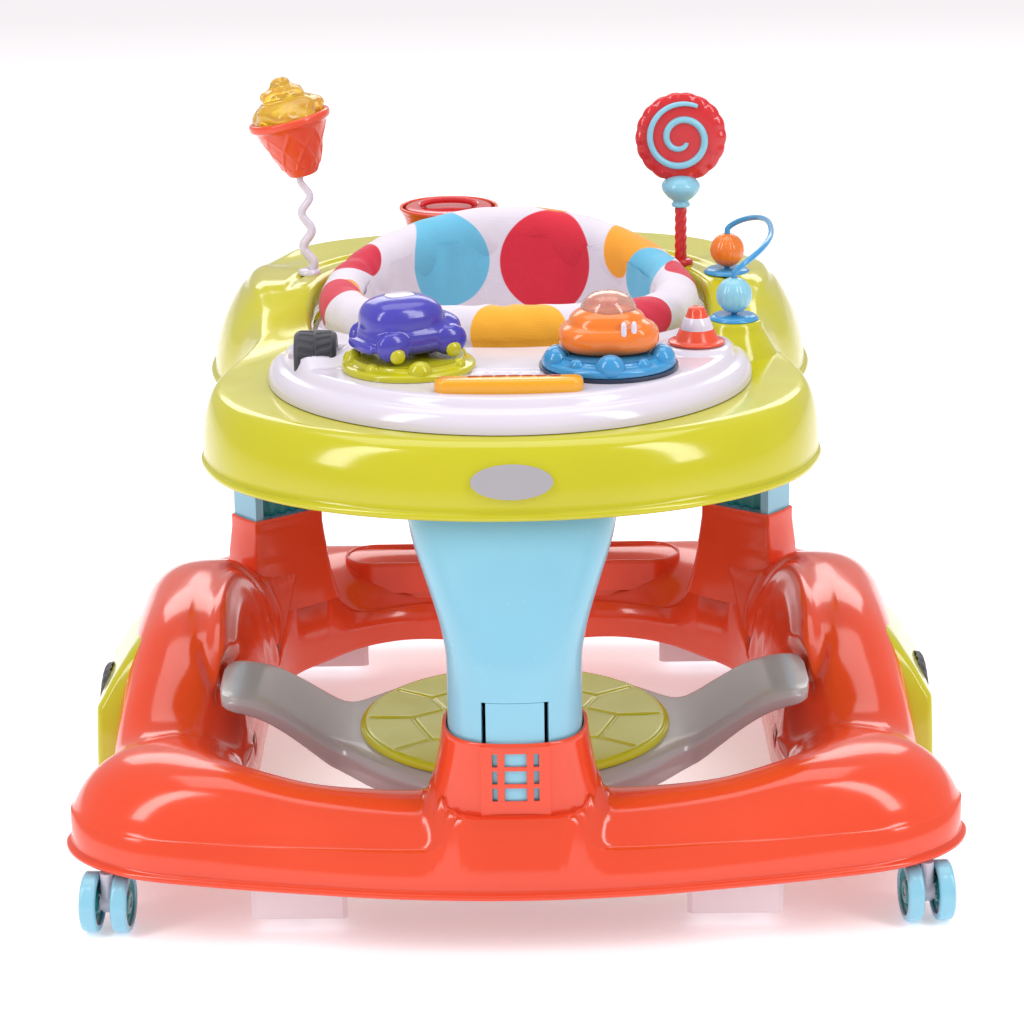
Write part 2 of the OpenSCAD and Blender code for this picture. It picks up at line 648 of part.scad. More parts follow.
// The tray filled solid, grown by grow
module tray_fill(grow) {
    loop_tube([for (r = tray_stations) let (a = crown(r, -grow), n = len(a) - 1)
        concat([[a[0][0], a[0][1], tray_z - 60]], a, [[a[n][0], a[n][1], tray_z - 60]])]);
}
bead_posts = [[187, -44], [193, 132]];
bead_post_z = rear_deck_z;
roller = [-155, -157];
key_y = -262;
car_left = [-80, -184];
car_right = [78, -192];
cone_at = [151, -131];
module tray_shell() {
    color(LIME) difference() {
        union() {
            loop_tube([for (r = tray_stations) concat(crown_outside(r), crown_inside(r))]);
            translate([bead_posts[0][0], bead_posts[0][1], 0])
                stack([for (q = [[-2, 36], [6, 33], [14, 28], [20, 25], [25, 23.5], [27, 22.5],
                    [bead_post_z - deck_z - 0.6, 21.5], [bead_post_z - deck_z - 0.3, 21],
                    [bead_post_z - deck_z, 20.5]]) [deck_z + q[0], q[1], q[1], 0]], 2, 24);
        }
        // Room under the toys
        for (t = [car_left, car_right, cone_at])
            translate([t[0], t[1], deck_z - 12]) cylinder(d = 30, h = 20, $fn = 12);
        translate([roller[0] - 24, roller[1] - 24, deck_z - 12]) cube([48, 48, 20]);
        translate([-50, key_y - 4, deck_z - 12]) cube([100, 8, 20]);
    }
}

// White activity panel: a flange and a raised plateau, open at the back for the seat
panel_front_y = -300;
panel_mid_y = -108;
seat_edge = 8;
function panel_plan(cut) = let (rx = panel_r - cut, ry = panel_mid_y - panel_front_y - cut)
    concat([for (k = [0:24]) let (a = 180 + 180 * k / 24) [rx * cos(a), panel_mid_y + ry * sin(a)]],
        [for (k = [1:6]) let (a = 12 * k) [rx - 26 * (1 - cos(a)), panel_mid_y + (44 - cut) * sin(a)]],
        [for (k = [0:16]) let (a = 52 - 104 * k / 16)
            [(seat_hole_w / 2 + seat_edge + cut) * sin(a),
                seat_y - (seat_hole_l / 2 + seat_edge + cut) * cos(a)]],
        [for (k = [6:-1:1]) let (a = 12 * k) [-rx + 26 * (1 - cos(a)), panel_mid_y + (44 - cut) * sin(a)]]);
panel_low_z = deck_z + 0.3;
module activity_panel() {
    color(WHITE) difference() {
        union() {
            translate([0, 0, panel_low_z]) linear_extrude(6) polygon(panel_plan(0));
            translate([0, 0, panel_low_z + 6]) linear_extrude(9) polygon(panel_plan(7));
            translate([0, 0, panel_low_z + 15])
                linear_extrude(panel_z - panel_low_z - 15) polygon(panel_plan(17));
            // Cheeks that carry the roller's axle
            for (s = [-1, 1])
                translate([roller[0] + s * (roller_w / 2 + 3) - 2, roller[1] - 11, panel_low_z + 2]) cube([4, 22, roller_z - panel_low_z + 4]);
        }
        tray_fill(0.3);
        translate([bead_posts[0][0], bead_posts[0][1], deck_z - 5]) cylinder(r = 36.5, h = 60, $fn = 64);
        // Hollow below
        translate([0, 0, panel_low_z - 1])
            linear_extrude(panel_z - panel_low_z - 2.5) polygon(panel_plan(24));
        for (t = [car_left, car_right, cone_at])
            translate([t[0], t[1], panel_low_z]) cylinder(d = 20.4, h = 60, $fn = 48);
        translate([roller[0] - roller_w / 2 - 1, roller[1] - 22.5, panel_low_z - 1])
            cube([roller_w + 2, 45, 40]);
        along_x(roller[0] - 30) translate([-roller_z, roller[1], 0]) cylinder(d = 5, h = 60, $fn = 32);
        translate([-42, key_y - 2.5, panel_low_z]) cube([84, 5, 60]);
    }
}
// Blank oval badge whose back follows the front of the tray
module tray_badge() {
    color("silver") difference() {
        translate([0, tray_mid - tray_l / 2 + 0.8, 372]) rotate([74, 0, 0]) translate([0, 0, -6])
            linear_extrude(6) polygon(oval(31.5, 13.5, 2, 48));
        tray_fill(0.2);
    }
}

// Sound module under the deck, with its battery door
box_z = deck_z - shell_wall - 0.5;
module music_box() {
    color(GREY) difference() {
        translate([-60, -196, box_z - 32]) cube([120, 70, 31.9]);
        translate([-57, -193, box_z - 29]) cube([114, 64, 40]);
        translate([-40, -187, box_z - 40]) cube([80, 52, 20]);
    }
}
module battery_door() {
    color(GREY) translate([-39.7, -186.7, box_z - 32]) cube([79.4, 51.4, 2.5]);
}

// Seat: a hoop that drops in the opening, a fabric sling and a padded roll
hoop_gap = 1;
seat_loop_n = 48;
function round_seat(k, grow) = let (a = 360 * k / seat_loop_n)
    [(seat_hole_w / 2 + grow) * sin(a), seat_y - (seat_hole_l / 2 + grow) * cos(a)];
function lift(k) = let (a = 360 * k / seat_loop_n) 0.5 - 0.5 * cos(a);
hoop_low_z = deck_z - 24;
module seat_hoop() {
    color(WHITE) loop_tube([for (k = [0:seat_loop_n - 1])
        let (o = round_seat(k, -hoop_gap), i = round_seat(k, -hoop_gap - 4), low = hoop_low_z,
            high = low + 20)
            [[o[0], o[1], low], [o[0], o[1], high], [i[0], i[1], high], [i[0], i[1], low]]]);
}
roll_front_z = 428;
roll_back_z = 450;
roll_inset = 28;
// Middle of the roll: over the hoop, lower at the sides and highest at the back
function roll_mid(k) = let (a = 360 * k / seat_loop_n, p = round_seat(k, -roll_inset))
    [p[0], p[1], mix(roll_front_z, roll_back_z, lift(k)) - 14 * pow(sin(a), 2)];
module seat_roll() {
    color("white") loop_tube([for (k = [0:seat_loop_n - 1]) let (a = 360 * k / seat_loop_n, c = roll_mid(k))
        [for (j = [0:11]) let (u = -30 * j, d = roll_d / 2 * cos(u))
            [c[0] + d * sin(a), c[1] - d * cos(a), c[2] + roll_d / 2 * sin(u)]]]);
}
sling_rows = [[hoop_low_z + 14, 30], [350, 34], [320, 42], [290, 54], [262, 74], [240, 104],
    [seat_floor_z, 128]];
module sling(cut, drop) {
    stack([for (r = sling_rows) let (q = r[1] + cut)
        [r[0] - drop, seat_hole_w / 2 - q, seat_hole_l / 2 - q, seat_y]], 2, 40);
}
leg_hole_d = 104;
leg_hole_x = 66;
module seat_fabric() {
    color("white") difference() {
        sling(0, 0);
        translate([0, 0, fabric_t]) sling(fabric_t, 0);
        translate([0, 0, hoop_low_z + 10]) linear_extrude(20)
            polygon(oval(seat_hole_w / 2 - 30 - fabric_t, seat_hole_l / 2 - 30 - fabric_t, 2, 40));
        for (s = [-1, 1])
            translate([s * leg_hole_x, seat_y - 70, seat_floor_z + 20]) rotate([62, 0, 0])
                cylinder(d = leg_hole_d, h = 160, center = true, $fn = 32);
    }
}

// Ice-cream toy on a wavy stalk
ice = [-177, 150];
ice_head_z = 514;
module icecream_stalk() {
    wave = [for (k = [0:12])
        [2.4 * sin(150 * k) - k / 6, mix(rear_deck_z + 4, ice_head_z, k / 12), mix(5, 3.2, k / 12)]];
    color(WHITE) {
        translate([ice[0], ice[1], rear_deck_z + 0.2]) cylinder(d = 20, h = 4, $fn = 48);
        rod([for (w = wave) [for (j = [0:9])
            [ice[0] + w[0] + w[2] * cos(36 * j), ice[1] + w[2] * sin(36 * j), w[1]]]]);
    }
}
ice_tilt = -13;
module ice_place() { translate([ice[0] - 2, ice[1], ice_head_z + 3]) rotate([0, ice_tilt, 0]) children(); }
module icecream_cone() {
    color("#ee6238") ice_place() rotate_extrude($fn = 64)
        polygon([[0, 0], [12, 0], [17, 8], [32, 46], [35.5, 47], [36, 53], [32.5, 54], [30, 48],
            [14, 11], [0, 9]]);
}
module icecream_swirl() {
    color("#f3c440") ice_place() rotate_extrude($fn = 64)
        polygon([[0, 40], [26.5, 42.5], [31, 54.5], [28, 66], [19, 70], [17, 77], [9, 80], [5, 87],
            [0, 89]]);
}

// Lollipop on a ribbed stalk, turning on its post
lolly = [154, 170];
lolly_z = 542;
module lollipop_stalk() {
    color(RED) translate([lolly[0], lolly[1], 0]) {
        translate([0, 0, rear_deck_z + 0.2]) cylinder(d = 22, h = 5, $fn = 48);
        for (k = [0:6]) translate([0, 0, rear_deck_z + 5.2 + 7 * k]) {
            cylinder(d1 = 9, d2 = 12, h = 3.5, $fn = 32);
            translate([0, 0, 3.5]) cylinder(d1 = 12, d2 = 9, h = 3.5, $fn = 32);
        }
        translate([0, 0, rear_deck_z + 54.2]) cylinder(d = 6, h = 12, $fn = 32);
    }
}
module lollipop_disc() {
    color(RED) translate([lolly[0], lolly[1], 0]) {
        difference() {
            translate([0, 0, rear_deck_z + 54.5]) cylinder(d1 = 22, d2 = 18, h = 22, $fn = 48);
            translate([0, 0, rear_deck_z + 53]) cylinder(d = 6 + 2 * run_gap, h = 14, $fn = 32);
        }
        translate([0, 0, lolly_z]) rotate([90, 0, 0]) {
            cylinder(d = 76, h = 13, center = true, $fn = 64);
            for (k = [0:19]) rotate(18 * k) translate([37, 0, 0])
                cylinder(d = 11, h = 9, center = true, $fn = 24);
            for (s = [0, 180]) rotate([s, 0, 0]) translate([0, 0, 6]) rotate_extrude($fn = 48)
                polygon([[14, 0], [22, 0], [22, 2.5], [14, 2.5]]);
        }
    }
}

// Bead loop: a flat wire standing on two flanges
flange_d = 41;
wire_d = 5;
loop_span = norm(bead_posts[1] - bead_posts[0]);
loop_turn = atan2(bead_posts[1][1] - bead_posts[0][1], bead_posts[1][0] - bead_posts[0][0]);
loop_h = 56;
loop_lean = 34;
module loop_place() {
    translate([bead_posts[0][0], bead_posts[0][1], bead_post_z + 0.3]) rotate(loop_turn) children();
}
bead_low_z = 5;
upright_h = bead_low_z + bead_d + 1;
// Middle line of the wire: upright past the beads, then a flat arch that leans outwards
function loop_arch(a) = let (rise = power(sin(a), 2.4))
    [loop_span / 2 * (1 - sign(cos(a)) * power(abs(cos(a)), 2.4)),
        -loop_lean * pow(rise, 1.4), mix(upright_h, loop_h, rise)];
loop_angles = [1, 5, 11, 19, 29, 42, 56, 72, 90, 108, 124, 138, 151, 161, 169, 175, 179];
loop_line = concat([[0, 0, 0], [0, 0, upright_h]], [for (a = loop_angles) loop_arch(a)],
    [[loop_span, 0, upright_h], [loop_span, 0, 0]]);
module bead_loop() {
    color("#2f9ec6") loop_place() {
        for (x = [0, loop_span])
            translate([x, 0, 0]) cylinder(d1 = flange_d, d2 = flange_d - 5, h = 3.5, $fn = 48);
        translate([0, 0, 2]) rod([for (i = [0:len(loop_line) - 1]) let (c = loop_line[i],
            n = len(loop_line) - 1,
            q = i == 1 ? c - loop_line[0] : i == n - 1 ? loop_line[n] - c
                : loop_line[min(i + 1, n)] - loop_line[max(i - 1, 0)],
            f = q / norm(q), e = cross([0, 1, 0], f) / norm(cross([0, 1, 0], f)), h = cross(f, e))
            [for (j = [0:9]) c + wire_d / 2 * (cos(36 * j) * e + sin(36 * j) * h)]]);
    }
}
module bead(x) {
    loop_place() translate([x, 0, bead_low_z + bead_d / 2]) difference() {
        sphere(d = bead_d, $fn = 64);
        cylinder(d = wire_d + 2 * run_gap, h = bead_d + 2, center = true, $fn = 32);
    }
}
module bead_blue() { color(SKY) bead(0); }
module bead_orange() { color("#f08a5c") bead(loop_span); }

// Left car: a press toy on a lime base
car_gap = 0.4;
module round_base(d) {
    cylinder(d = d, h = 4, $fn = 64);
    translate([0, 0, 4]) cylinder(d1 = d, d2 = d - 10, h = 6, $fn = 64);
}
module purple_base() {
    color(LIME) translate([car_left[0], car_left[1], panel_z + 0.3]) difference() {
        round_base(car_base_d);
        translate([0, 0, -1]) cylinder(d = 20.4, h = 20, $fn = 48);
    }
}
base_h = 10;
car_z = panel_z + 0.3 + base_h + press + car_gap;
module car_block(l, w, rows) {
    hull() rod([for (r = rows) ring_at([r[0], l * r[1], w * r[2], 0], 3, 32)]);
}
module purple_car() {
    color("#5a55be") translate([car_left[0], car_left[1], car_z]) {
        rotate(28) {
            car_block(42, 32, [[0, 0.94, 0.94], [6, 1, 1], [18, 1, 1], [26, 0.9, 0.86]]);
            translate([-2, 0, 20]) car_block(28, 25, [[0, 1, 1], [16, 0.86, 0.86], [26, 0.56, 0.56]]);
        }
        translate([0, 0, -22]) cylinder(d = 20, h = 24, $fn = 48);
    }
}
// Right car: turns on a dark turntable
module turntable() {
    color(DARK) translate([car_right[0], car_right[1], panel_z + 0.3]) {
        cylinder(d = car_base_d + 4, h = 3, $fn = 64);
        translate([0, 0, -20]) cylinder(d = 20, h = 21, $fn = 48);
        cylinder(d = 8, h = 18, $fn = 32);
    }
}
turn_z = panel_z + 0.3 + 3.4;
module orange_base() {
    color("#4a9fd3") translate([car_right[0], car_right[1], turn_z]) difference() {
        round_base(car_base_d);
        translate([0, 0, -1]) cylinder(d = 8 + 2 * run_gap, h = 30, $fn = 32);
    }
}
orange_z = turn_z + base_h;
module orange_car() {
    color("#f08c3c") translate([car_right[0], car_right[1], orange_z]) difference() {
        union() {
            car_block(42, 33, [[0, 1, 1], [10, 1, 1], [20, 0.9, 0.86]]);
            translate([0, 0, 15]) car_block(31, 26, [[0, 1, 1], [12, 0.86, 0.84], [19, 0.72, 0.7]]);
        }
        translate([0, 0, -1]) cylinder(d = 8 + 2 * run_gap, h = 8, $fn = 32);
        translate([0, 4, 28]) cylinder(d = 30.4, h = 20, $fn = 48);
    }
}
module clear_dome() {
    color("#f6c3a8") translate([car_right[0], car_right[1] + 4, orange_z + 28]) {
        cylinder(d = 30, h = 6.2, $fn = 48);
        intersection() {
            translate([0, 0, -6]) sphere(r = 22, $fn = 64);
            translate([0, 0, 6.2]) cylinder(d = 60, h = 30, $fn = 48);
        }
    }
}
module music_keys() {
    color("#f2b32a") translate([0, key_y, 0]) {
        translate([-60, -11, panel_z + press + 0.6]) cube([120, 20, 6]);
        translate([-58, -9, panel_z + press + 6]) cube([116, 16, 3]);
        translate([-40, -2, panel_low_z + 6]) cube([80, 4, panel_z + press - panel_low_z - 5]);
    }
}
roller_z = 430;
roller_d = 40;
roller_w = 34;
module tyre_axle() {
    color("silver") along_x(roller[0] - roller_w / 2 - 5) translate([-roller_z, roller[1], 0])
        cylinder(d = 5, h = roller_w + 10, $fn = 32);
}
module tyre_roller() {
    r = roller_d / 2;
    color(DARK) along_x(roller[0]) translate([-roller_z, roller[1], 0]) difference() {
        translate([0, 0, -roller_w / 2]) rotate_extrude($fn = 64)
            polygon([[2.5 + run_gap, 0], [r - 3, 0], [r, 3], [r, 15], [r - 1.5, 16], [r - 1.5, 18],
                [r, 19], [r, 31], [r - 3, roller_w], [2.5 + run_gap, roller_w]]);
    }
}
module cone_button() {
    color("#f07a4a") translate([cone_at[0], cone_at[1], panel_z + press + 0.6]) {
        cylinder(d = 46, h = 2.5, $fn = 48);
        translate([0, 0, 2.5]) cylinder(d1 = 37, d2 = 13, h = 26, $fn = 48);
        translate([0, 0, 28.5]) cylinder(d1 = 13, d2 = 8, h = 2.5, $fn = 48);
        translate([0, 0, -18]) cylinder(d = 20, h = 18.5, $fn = 48);
    }
}
// Round snack dish with a lid on the rear deck
dish_at = [-55, 306];
dish_d = 92;
module rear_dish() {
    color(ORANGE) translate([dish_at[0], dish_at[1], rear_deck_z + 0.3]) rotate_extrude($fn = 64)
        polygon([[0, 0], [dish_d / 2 - 10, 0], [dish_d / 2 - 2, 22], [dish_d / 2, 24],
            [dish_d / 2, 28], [dish_d / 2 - 3, 28],
            [dish_d / 2 - 5, 24], [dish_d / 2 - 12, 3], [0, 3]]);
}
module dish_lid() {
    color(RED) translate([dish_at[0], dish_at[1], rear_deck_z + 0.3]) {
        translate([0, 0, 24.4]) cylinder(d = dish_d - 12, h = 3, $fn = 64);
        translate([-22, 0, 27.4]) intersection() {
            translate([0, -3.5, 0]) cube([44, 7, 8]);
            translate([22, 5, -18]) rotate([90, 0, 0]) cylinder(r = 26, h = 10, $fn = 64);
        }
    }
}

base_shell();
caster_sockets();
wheel_panel_left();
wheel_panel_right();
wheel_tyres();
hub_caps();
stopper_pads();
base_screws();
footrest_plate();
footrest_disc();
caster_fork_fl();
caster_fork_fr();
caster_fork_rl();
caster_fork_rr();
caster_axle_fl();
caster_axle_fr();
caster_axle_rl();
caster_axle_rr();
wheel_fl_inner();
wheel_fr_inner();
wheel_rl_inner();
wheel_rr_inner();
wheel_fl_outer();
wheel_fr_outer();
wheel_rl_outer();
wheel_rr_outer();
front_column();
rear_leg_left();
rear_leg_right();
height_latch();
tray_shell();
activity_panel();
tray_badge();
music_box();
battery_door();
seat_hoop();
seat_fabric();
seat_roll();
icecream_stalk();
icecream_cone();
icecream_swirl();
lollipop_stalk();
lollipop_disc();
bead_loop();
bead_orange();
bead_blue();
purple_base();
purple_car();
turntable();
orange_base();
orange_car();
clear_dome();
music_keys();
tyre_axle();
tyre_roller();
cone_button();
rear_dish();
dish_lid();
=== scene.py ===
import math
import bmesh
import bpy
import numpy as np
from mathutils import Matrix, Vector


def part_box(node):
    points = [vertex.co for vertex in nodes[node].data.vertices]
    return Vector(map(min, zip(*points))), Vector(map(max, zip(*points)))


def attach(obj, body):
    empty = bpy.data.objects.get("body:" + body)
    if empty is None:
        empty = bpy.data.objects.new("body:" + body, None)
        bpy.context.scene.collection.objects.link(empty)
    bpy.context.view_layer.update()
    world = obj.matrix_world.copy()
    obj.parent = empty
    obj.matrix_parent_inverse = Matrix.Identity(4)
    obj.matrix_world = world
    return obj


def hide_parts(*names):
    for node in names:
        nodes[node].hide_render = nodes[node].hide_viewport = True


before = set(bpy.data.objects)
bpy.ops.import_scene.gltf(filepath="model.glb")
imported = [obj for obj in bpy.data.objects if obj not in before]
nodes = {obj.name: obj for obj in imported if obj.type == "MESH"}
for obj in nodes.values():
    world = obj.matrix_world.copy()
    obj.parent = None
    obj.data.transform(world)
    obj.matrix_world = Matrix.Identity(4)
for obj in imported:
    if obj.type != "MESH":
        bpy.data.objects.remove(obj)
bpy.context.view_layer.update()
mm = 0.001
print("frame loaded:", len(nodes), "nodes")


# Quads between neighbouring rows and columns of a grid of points in mm.
# A closed direction wraps, doubles at poles and seams are merged, and closed shells face outwards.
def gridPiece(name, points, closeRows=False, closeCols=False, keep=None, closed=True, merge=0.01):
    rows, cols = points.shape[:2]
    i, j = np.meshgrid(np.arange(rows if closeRows else rows - 1),
                       np.arange(cols if closeCols else cols - 1), indexing="ij")
    down, along = (i + 1) % rows, (j + 1) % cols
    quads = np.stack([i * cols + j, down * cols + j, down * cols + along, i * cols + along], -1).reshape(-1, 4)
    if keep is not None:
        quads = quads[keep(i, j).ravel()]
    return meshPiece(name, points.reshape(-1, 3), quads, closed, merge)


def meshPiece(name, points, faces, closed=True, merge=0.01):
    mesh = bpy.data.meshes.new(name)
    mesh.from_pydata((np.asarray(points) * mm).tolist(), [], np.asarray(faces).tolist())
    work = bmesh.new()
    work.from_mesh(mesh)
    bmesh.ops.remove_doubles(work, verts=work.verts, dist=merge * mm)
    loose = [v for v in work.verts if not v.link_faces]
    bmesh.ops.delete(work, geom=loose, context="VERTS")
    if closed:
        bmesh.ops.recalc_face_normals(work, faces=work.faces)
    work.to_mesh(mesh)
    work.free()
    mesh.polygons.foreach_set("use_smooth", np.ones(len(mesh.polygons), dtype=bool))
    piece = bpy.data.objects.new(name, mesh)
    bpy.context.scene.collection.objects.link(piece)
    return piece


# Rows of numbers joined by a Catmull-Rom curve, steps points for each row
def smoothRows(rows, steps, loop=False):
    rows = np.asarray(rows, float)
    if loop:
        a, b, c, d = np.roll(rows, 1, 0), rows, np.roll(rows, -1, 0), np.roll(rows, -2, 0)
    else:
        ends = np.vstack([2 * rows[:1] - rows[1:2], rows, 2 * rows[-1:] - rows[-2:-1]])
        a, b, c, d = ends[:-3], ends[1:-2], ends[2:-1], ends[3:]
    t = (np.arange(steps) / steps)[None, :, None]
    a, b, c, d = (v[:, None, :] for v in (a, b, c, d))
    out = 0.5 * (2 * b + (c - a) * t + (2 * a - 5 * b + 4 * c - d) * t ** 2 + (3 * b - a - 3 * c + d) * t ** 3)
    out = out.reshape(-1, rows.shape[1])
    return out if loop else np.vstack([out, rows[-1:]])


# Half of a symmetric loop of rows: the same rows come back reflected, columns 0 and 2 change sign
def mirroredLoop(rows, steps):
    rows = np.asarray(rows, float)
    back = rows[-2:0:-1] * np.array([-1, 1, -1, 1, 1])
    return smoothRows(np.vstack([rows, back]), steps, loop=True)


# The piece's side as a word for its name
def hand(side):
    return "Right" if side > 0 else "Left"


def mix(a, b, t):
    return a + (b - a) * t


def power(v, p):
    return np.power(np.maximum(v, 0), 2 / p)


def ramp(x, low, high):
    t = np.clip((x - low) / (high - low), 0, 1)
    return t * t * (3 - 2 * t)


# Superellipse outline, |x/rx|^p + |y/ry|^p = 1
def oval(rx, ry, p, angles):
    c, s = np.cos(angles), np.sin(angles)
    return rx * np.sign(c) * power(np.abs(c), p), ry * np.sign(s) * power(np.abs(s), p)


# Height profile turned about a vertical axis: x = r cos a, y = r sin a
def lathe(name, profile, place, turns=96, warp=None, tilt=None, **rest):
    profile = np.asarray(profile, float)
    angles = np.linspace(0, 2 * np.pi, turns, endpoint=False)
    r, a = np.meshgrid(profile[:, 0], angles)
    z = np.meshgrid(profile[:, 1], angles)[0]
    if warp:
        r, z = warp(r, z, a)
    points = np.stack([r * np.cos(a), r * np.sin(a), z], -1)
    if tilt is not None:
        points = points @ tilt.T
    return gridPiece(name, points + np.asarray(place, float), closeRows=True, **rest)


# Turning matrix about one axis, degrees
def turned(axis, degrees):
    return np.array(Matrix.Rotation(math.radians(degrees), 3, axis))


# Sections carried along a line of points: each section stands square to the line's direction
def sweep(name, line, radii, turns=20, section=None, up=(0, 1, 0), twist=None):
    line = np.asarray(line, float)
    ahead = np.gradient(line, axis=0)
    ahead /= np.linalg.norm(ahead, axis=1, keepdims=True)
    side = np.cross(np.broadcast_to(np.asarray(up, float), ahead.shape), ahead)
    side /= np.linalg.norm(side, axis=1, keepdims=True)
    over = np.cross(ahead, side)
    a = np.linspace(0, 2 * np.pi, turns, endpoint=False)[None, :]
    if twist is not None:
        a = a + np.asarray(twist)[:, None]
    scale = section(a if twist is None else a - np.asarray(twist)[:, None]) if section else 1
    r = np.broadcast_to(np.asarray(radii, float), (len(line),))[:, None] * scale
    around = np.cos(a)[..., None] * side[:, None] + np.sin(a)[..., None] * over[:, None]
    points = line[:, None] + r[..., None] * around
    ends = [np.repeat(line[k][None, None], turns, 1) for k in (0, -1)]
    return gridPiece(name, np.concatenate([ends[0], points, ends[1]]), closeCols=True)


def addModifier(piece, kind, **settings):
    changer = piece.modifiers.new(kind.title(), kind)
    for key, value in settings.items():
        setattr(changer, key, value)
    return changer


def finishPiece(piece, material, body, *stands):
    piece.data.materials.clear()
    piece.data.materials.append(material)
    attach(piece, body)
    if stands:
        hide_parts(*stands)
    return piece


def toLinear(code, alpha=1.0):
    parts = np.array([int(code[k:k + 2], 16) for k in (1, 3, 5)]) / 255
    parts = np.where(parts <= 0.04045, parts / 12.92, ((parts + 0.055) / 1.055) ** 2.4)
    return (*parts.tolist(), alpha)


# Adds a node, sets its own settings and its sockets' values, and joins its sockets
def addNode(tree, kind, settings=(), values=(), links=()):
    node = tree.nodes.new(kind)
    for key, value in dict(settings).items():
        setattr(node, key, value)
    for key, value in dict(values).items():
        node.inputs[key].default_value = value
    for key, source in dict(links).items():
        tree.links.new(source, node.inputs[key])
    return node


def newMaterial(name):
    material = bpy.data.materials.new(name)
    material.use_nodes = True
    tree = material.node_tree
    tree.nodes.clear()
    return material, tree


# Moulded plastic: a gloss skin whose colour drifts a little, with slow sink marks, a fine texture from the
# tool's steel, and faint handling marks in the gloss
def mouldedPlastic(name, colour, shade, gloss=0.2, sink=0.10, fine=0.012, marks=0.08, coat=0.25):
    material, tree = newMaterial(name)
    place = addNode(tree, "ShaderNodeTexCoord").outputs["Object"]
    drift = addNode(tree, "ShaderNodeTexNoise", values={"Scale": 9.0, "Detail": 3.0}, links={"Vector": place})
    tone = addNode(tree, "ShaderNodeMix", {"data_type": "RGBA"},
                   {"A": toLinear(colour), "B": toLinear(shade)}, {"Factor": drift.outputs["Fac"]})
    wipe = addNode(tree, "ShaderNodeTexNoise", values={"Scale": 42.0, "Detail": 6.0, "Roughness": 0.7},
                   links={"Vector": place})
    rough = addNode(tree, "ShaderNodeMapRange", values={"From Min": 0.35, "From Max": 0.7, "To Min": gloss,
                    "To Max": gloss + marks}, links={"Value": wipe.outputs["Fac"]})
    slow = addNode(tree, "ShaderNodeTexNoise", values={"Scale": 14.0, "Detail": 1.0}, links={"Vector": place})
    slowBump = addNode(tree, "ShaderNodeBump", values={"Strength": sink, "Distance": 0.004},
                       links={"Height": slow.outputs["Fac"]})
    grain = addNode(tree, "ShaderNodeTexNoise", values={"Scale": 900.0, "Detail": 2.0}, links={"Vector": place})
    bump = addNode(tree, "ShaderNodeBump", values={"Strength": fine * 4, "Distance": 0.0004},
                   links={"Height": grain.outputs["Fac"], "Normal": slowBump.outputs["Normal"]})
    shader = addNode(tree, "ShaderNodeBsdfPrincipled",
                     values={"IOR": 1.49, "Coat Weight": coat, "Coat Roughness": 0.06,
                             "Subsurface Weight": 0.04, "Subsurface Scale": 0.004},
                     links={"Base Color": tone.outputs["Result"], "Roughness": rough.outputs["Result"],
                            "Normal": bump.outputs["Normal"]})
    addNode(tree, "ShaderNodeOutputMaterial", links={"Surface": shader.outputs[0]})
    return material


orangePlastic = mouldedPlastic("polypropylene moulded orange", "#ee4f2c", "#e2421f", gloss=0.12)
limePlastic = mouldedPlastic("polypropylene moulded lime", "#c9c41c", "#bdb716", gloss=0.12)
skyPlastic = mouldedPlastic("polypropylene moulded sky blue", "#8fcbe0", "#82c0d8", gloss=0.2)
# Teal is painted shade: a darker copy of the sky-blue plastic, standing for the shaded inner faces of the legs
# and wheels
paintedShadeTeal = mouldedPlastic("polypropylene sky blue with painted shade teal", "#1f9a9c", "#178a90", gloss=0.24)
whitePlastic = mouldedPlastic("ABS moulded white", "#dfd8e4", "#d6cedd", gloss=0.12, sink=0.05)
greyPlastic = mouldedPlastic("polypropylene moulded grey", "#b4aaac", "#a89ea0", gloss=0.16, sink=0.14)
purplePlastic = mouldedPlastic("ABS moulded purple", "#4a45b4", "#403ba6", gloss=0.14)
carOrange = mouldedPlastic("ABS moulded tangerine", "#f0802c", "#e87522", gloss=0.14)
toyBlue = mouldedPlastic("ABS moulded blue", "#3f9ad0", "#348dc6", gloss=0.16)
toyRed = mouldedPlastic("ABS moulded red", "#d42a30", "#c82228", gloss=0.14)
toyYellow = mouldedPlastic("ABS moulded yellow", "#f0ad22", "#e8a019", gloss=0.18)
coneOrange = mouldedPlastic("ABS moulded cone orange", "#e9512f", "#df4625", gloss=0.2)
dotRed = mouldedPlastic("ABS moulded brick red", "#b4441c", "#a33a16", gloss=0.3)
darkPlastic = mouldedPlastic("ABS moulded dark blue", "#20304e", "#182640", gloss=0.3)
padPlastic = mouldedPlastic("polyethylene moulded pinkish white", "#f3e6ea", "#ecdce2", gloss=0.35)


# Moulded rubber: matt black with a sheen at the edges and a dusty bloom
def mouldedRubber(name):
    material, tree = newMaterial(name)
    place = addNode(tree, "ShaderNodeTexCoord").outputs["Object"]
    dust = addNode(tree, "ShaderNodeTexNoise", values={"Scale": 60.0, "Detail": 6.0}, links={"Vector": place})
    tone = addNode(tree, "ShaderNodeMix", {"data_type": "RGBA"},
                   {"A": toLinear("#24242b"), "B": toLinear("#3c3c46")}, {"Factor": dust.outputs["Fac"]})
    grit = addNode(tree, "ShaderNodeTexNoise", values={"Scale": 1400.0}, links={"Vector": place})
    bump = addNode(tree, "ShaderNodeBump", values={"Strength": 0.2, "Distance": 0.0003},
                   links={"Height": grit.outputs["Fac"]})
    shader = addNode(tree, "ShaderNodeBsdfPrincipled",
                     values={"Roughness": 0.55, "IOR": 1.52, "Sheen Weight": 0.2},
                     links={"Base Color": tone.outputs["Result"], "Normal": bump.outputs["Normal"]})
    addNode(tree, "ShaderNodeOutputMaterial", links={"Surface": shader.outputs[0]})
    return material


tyreRubber = mouldedRubber("rubber moulded black")


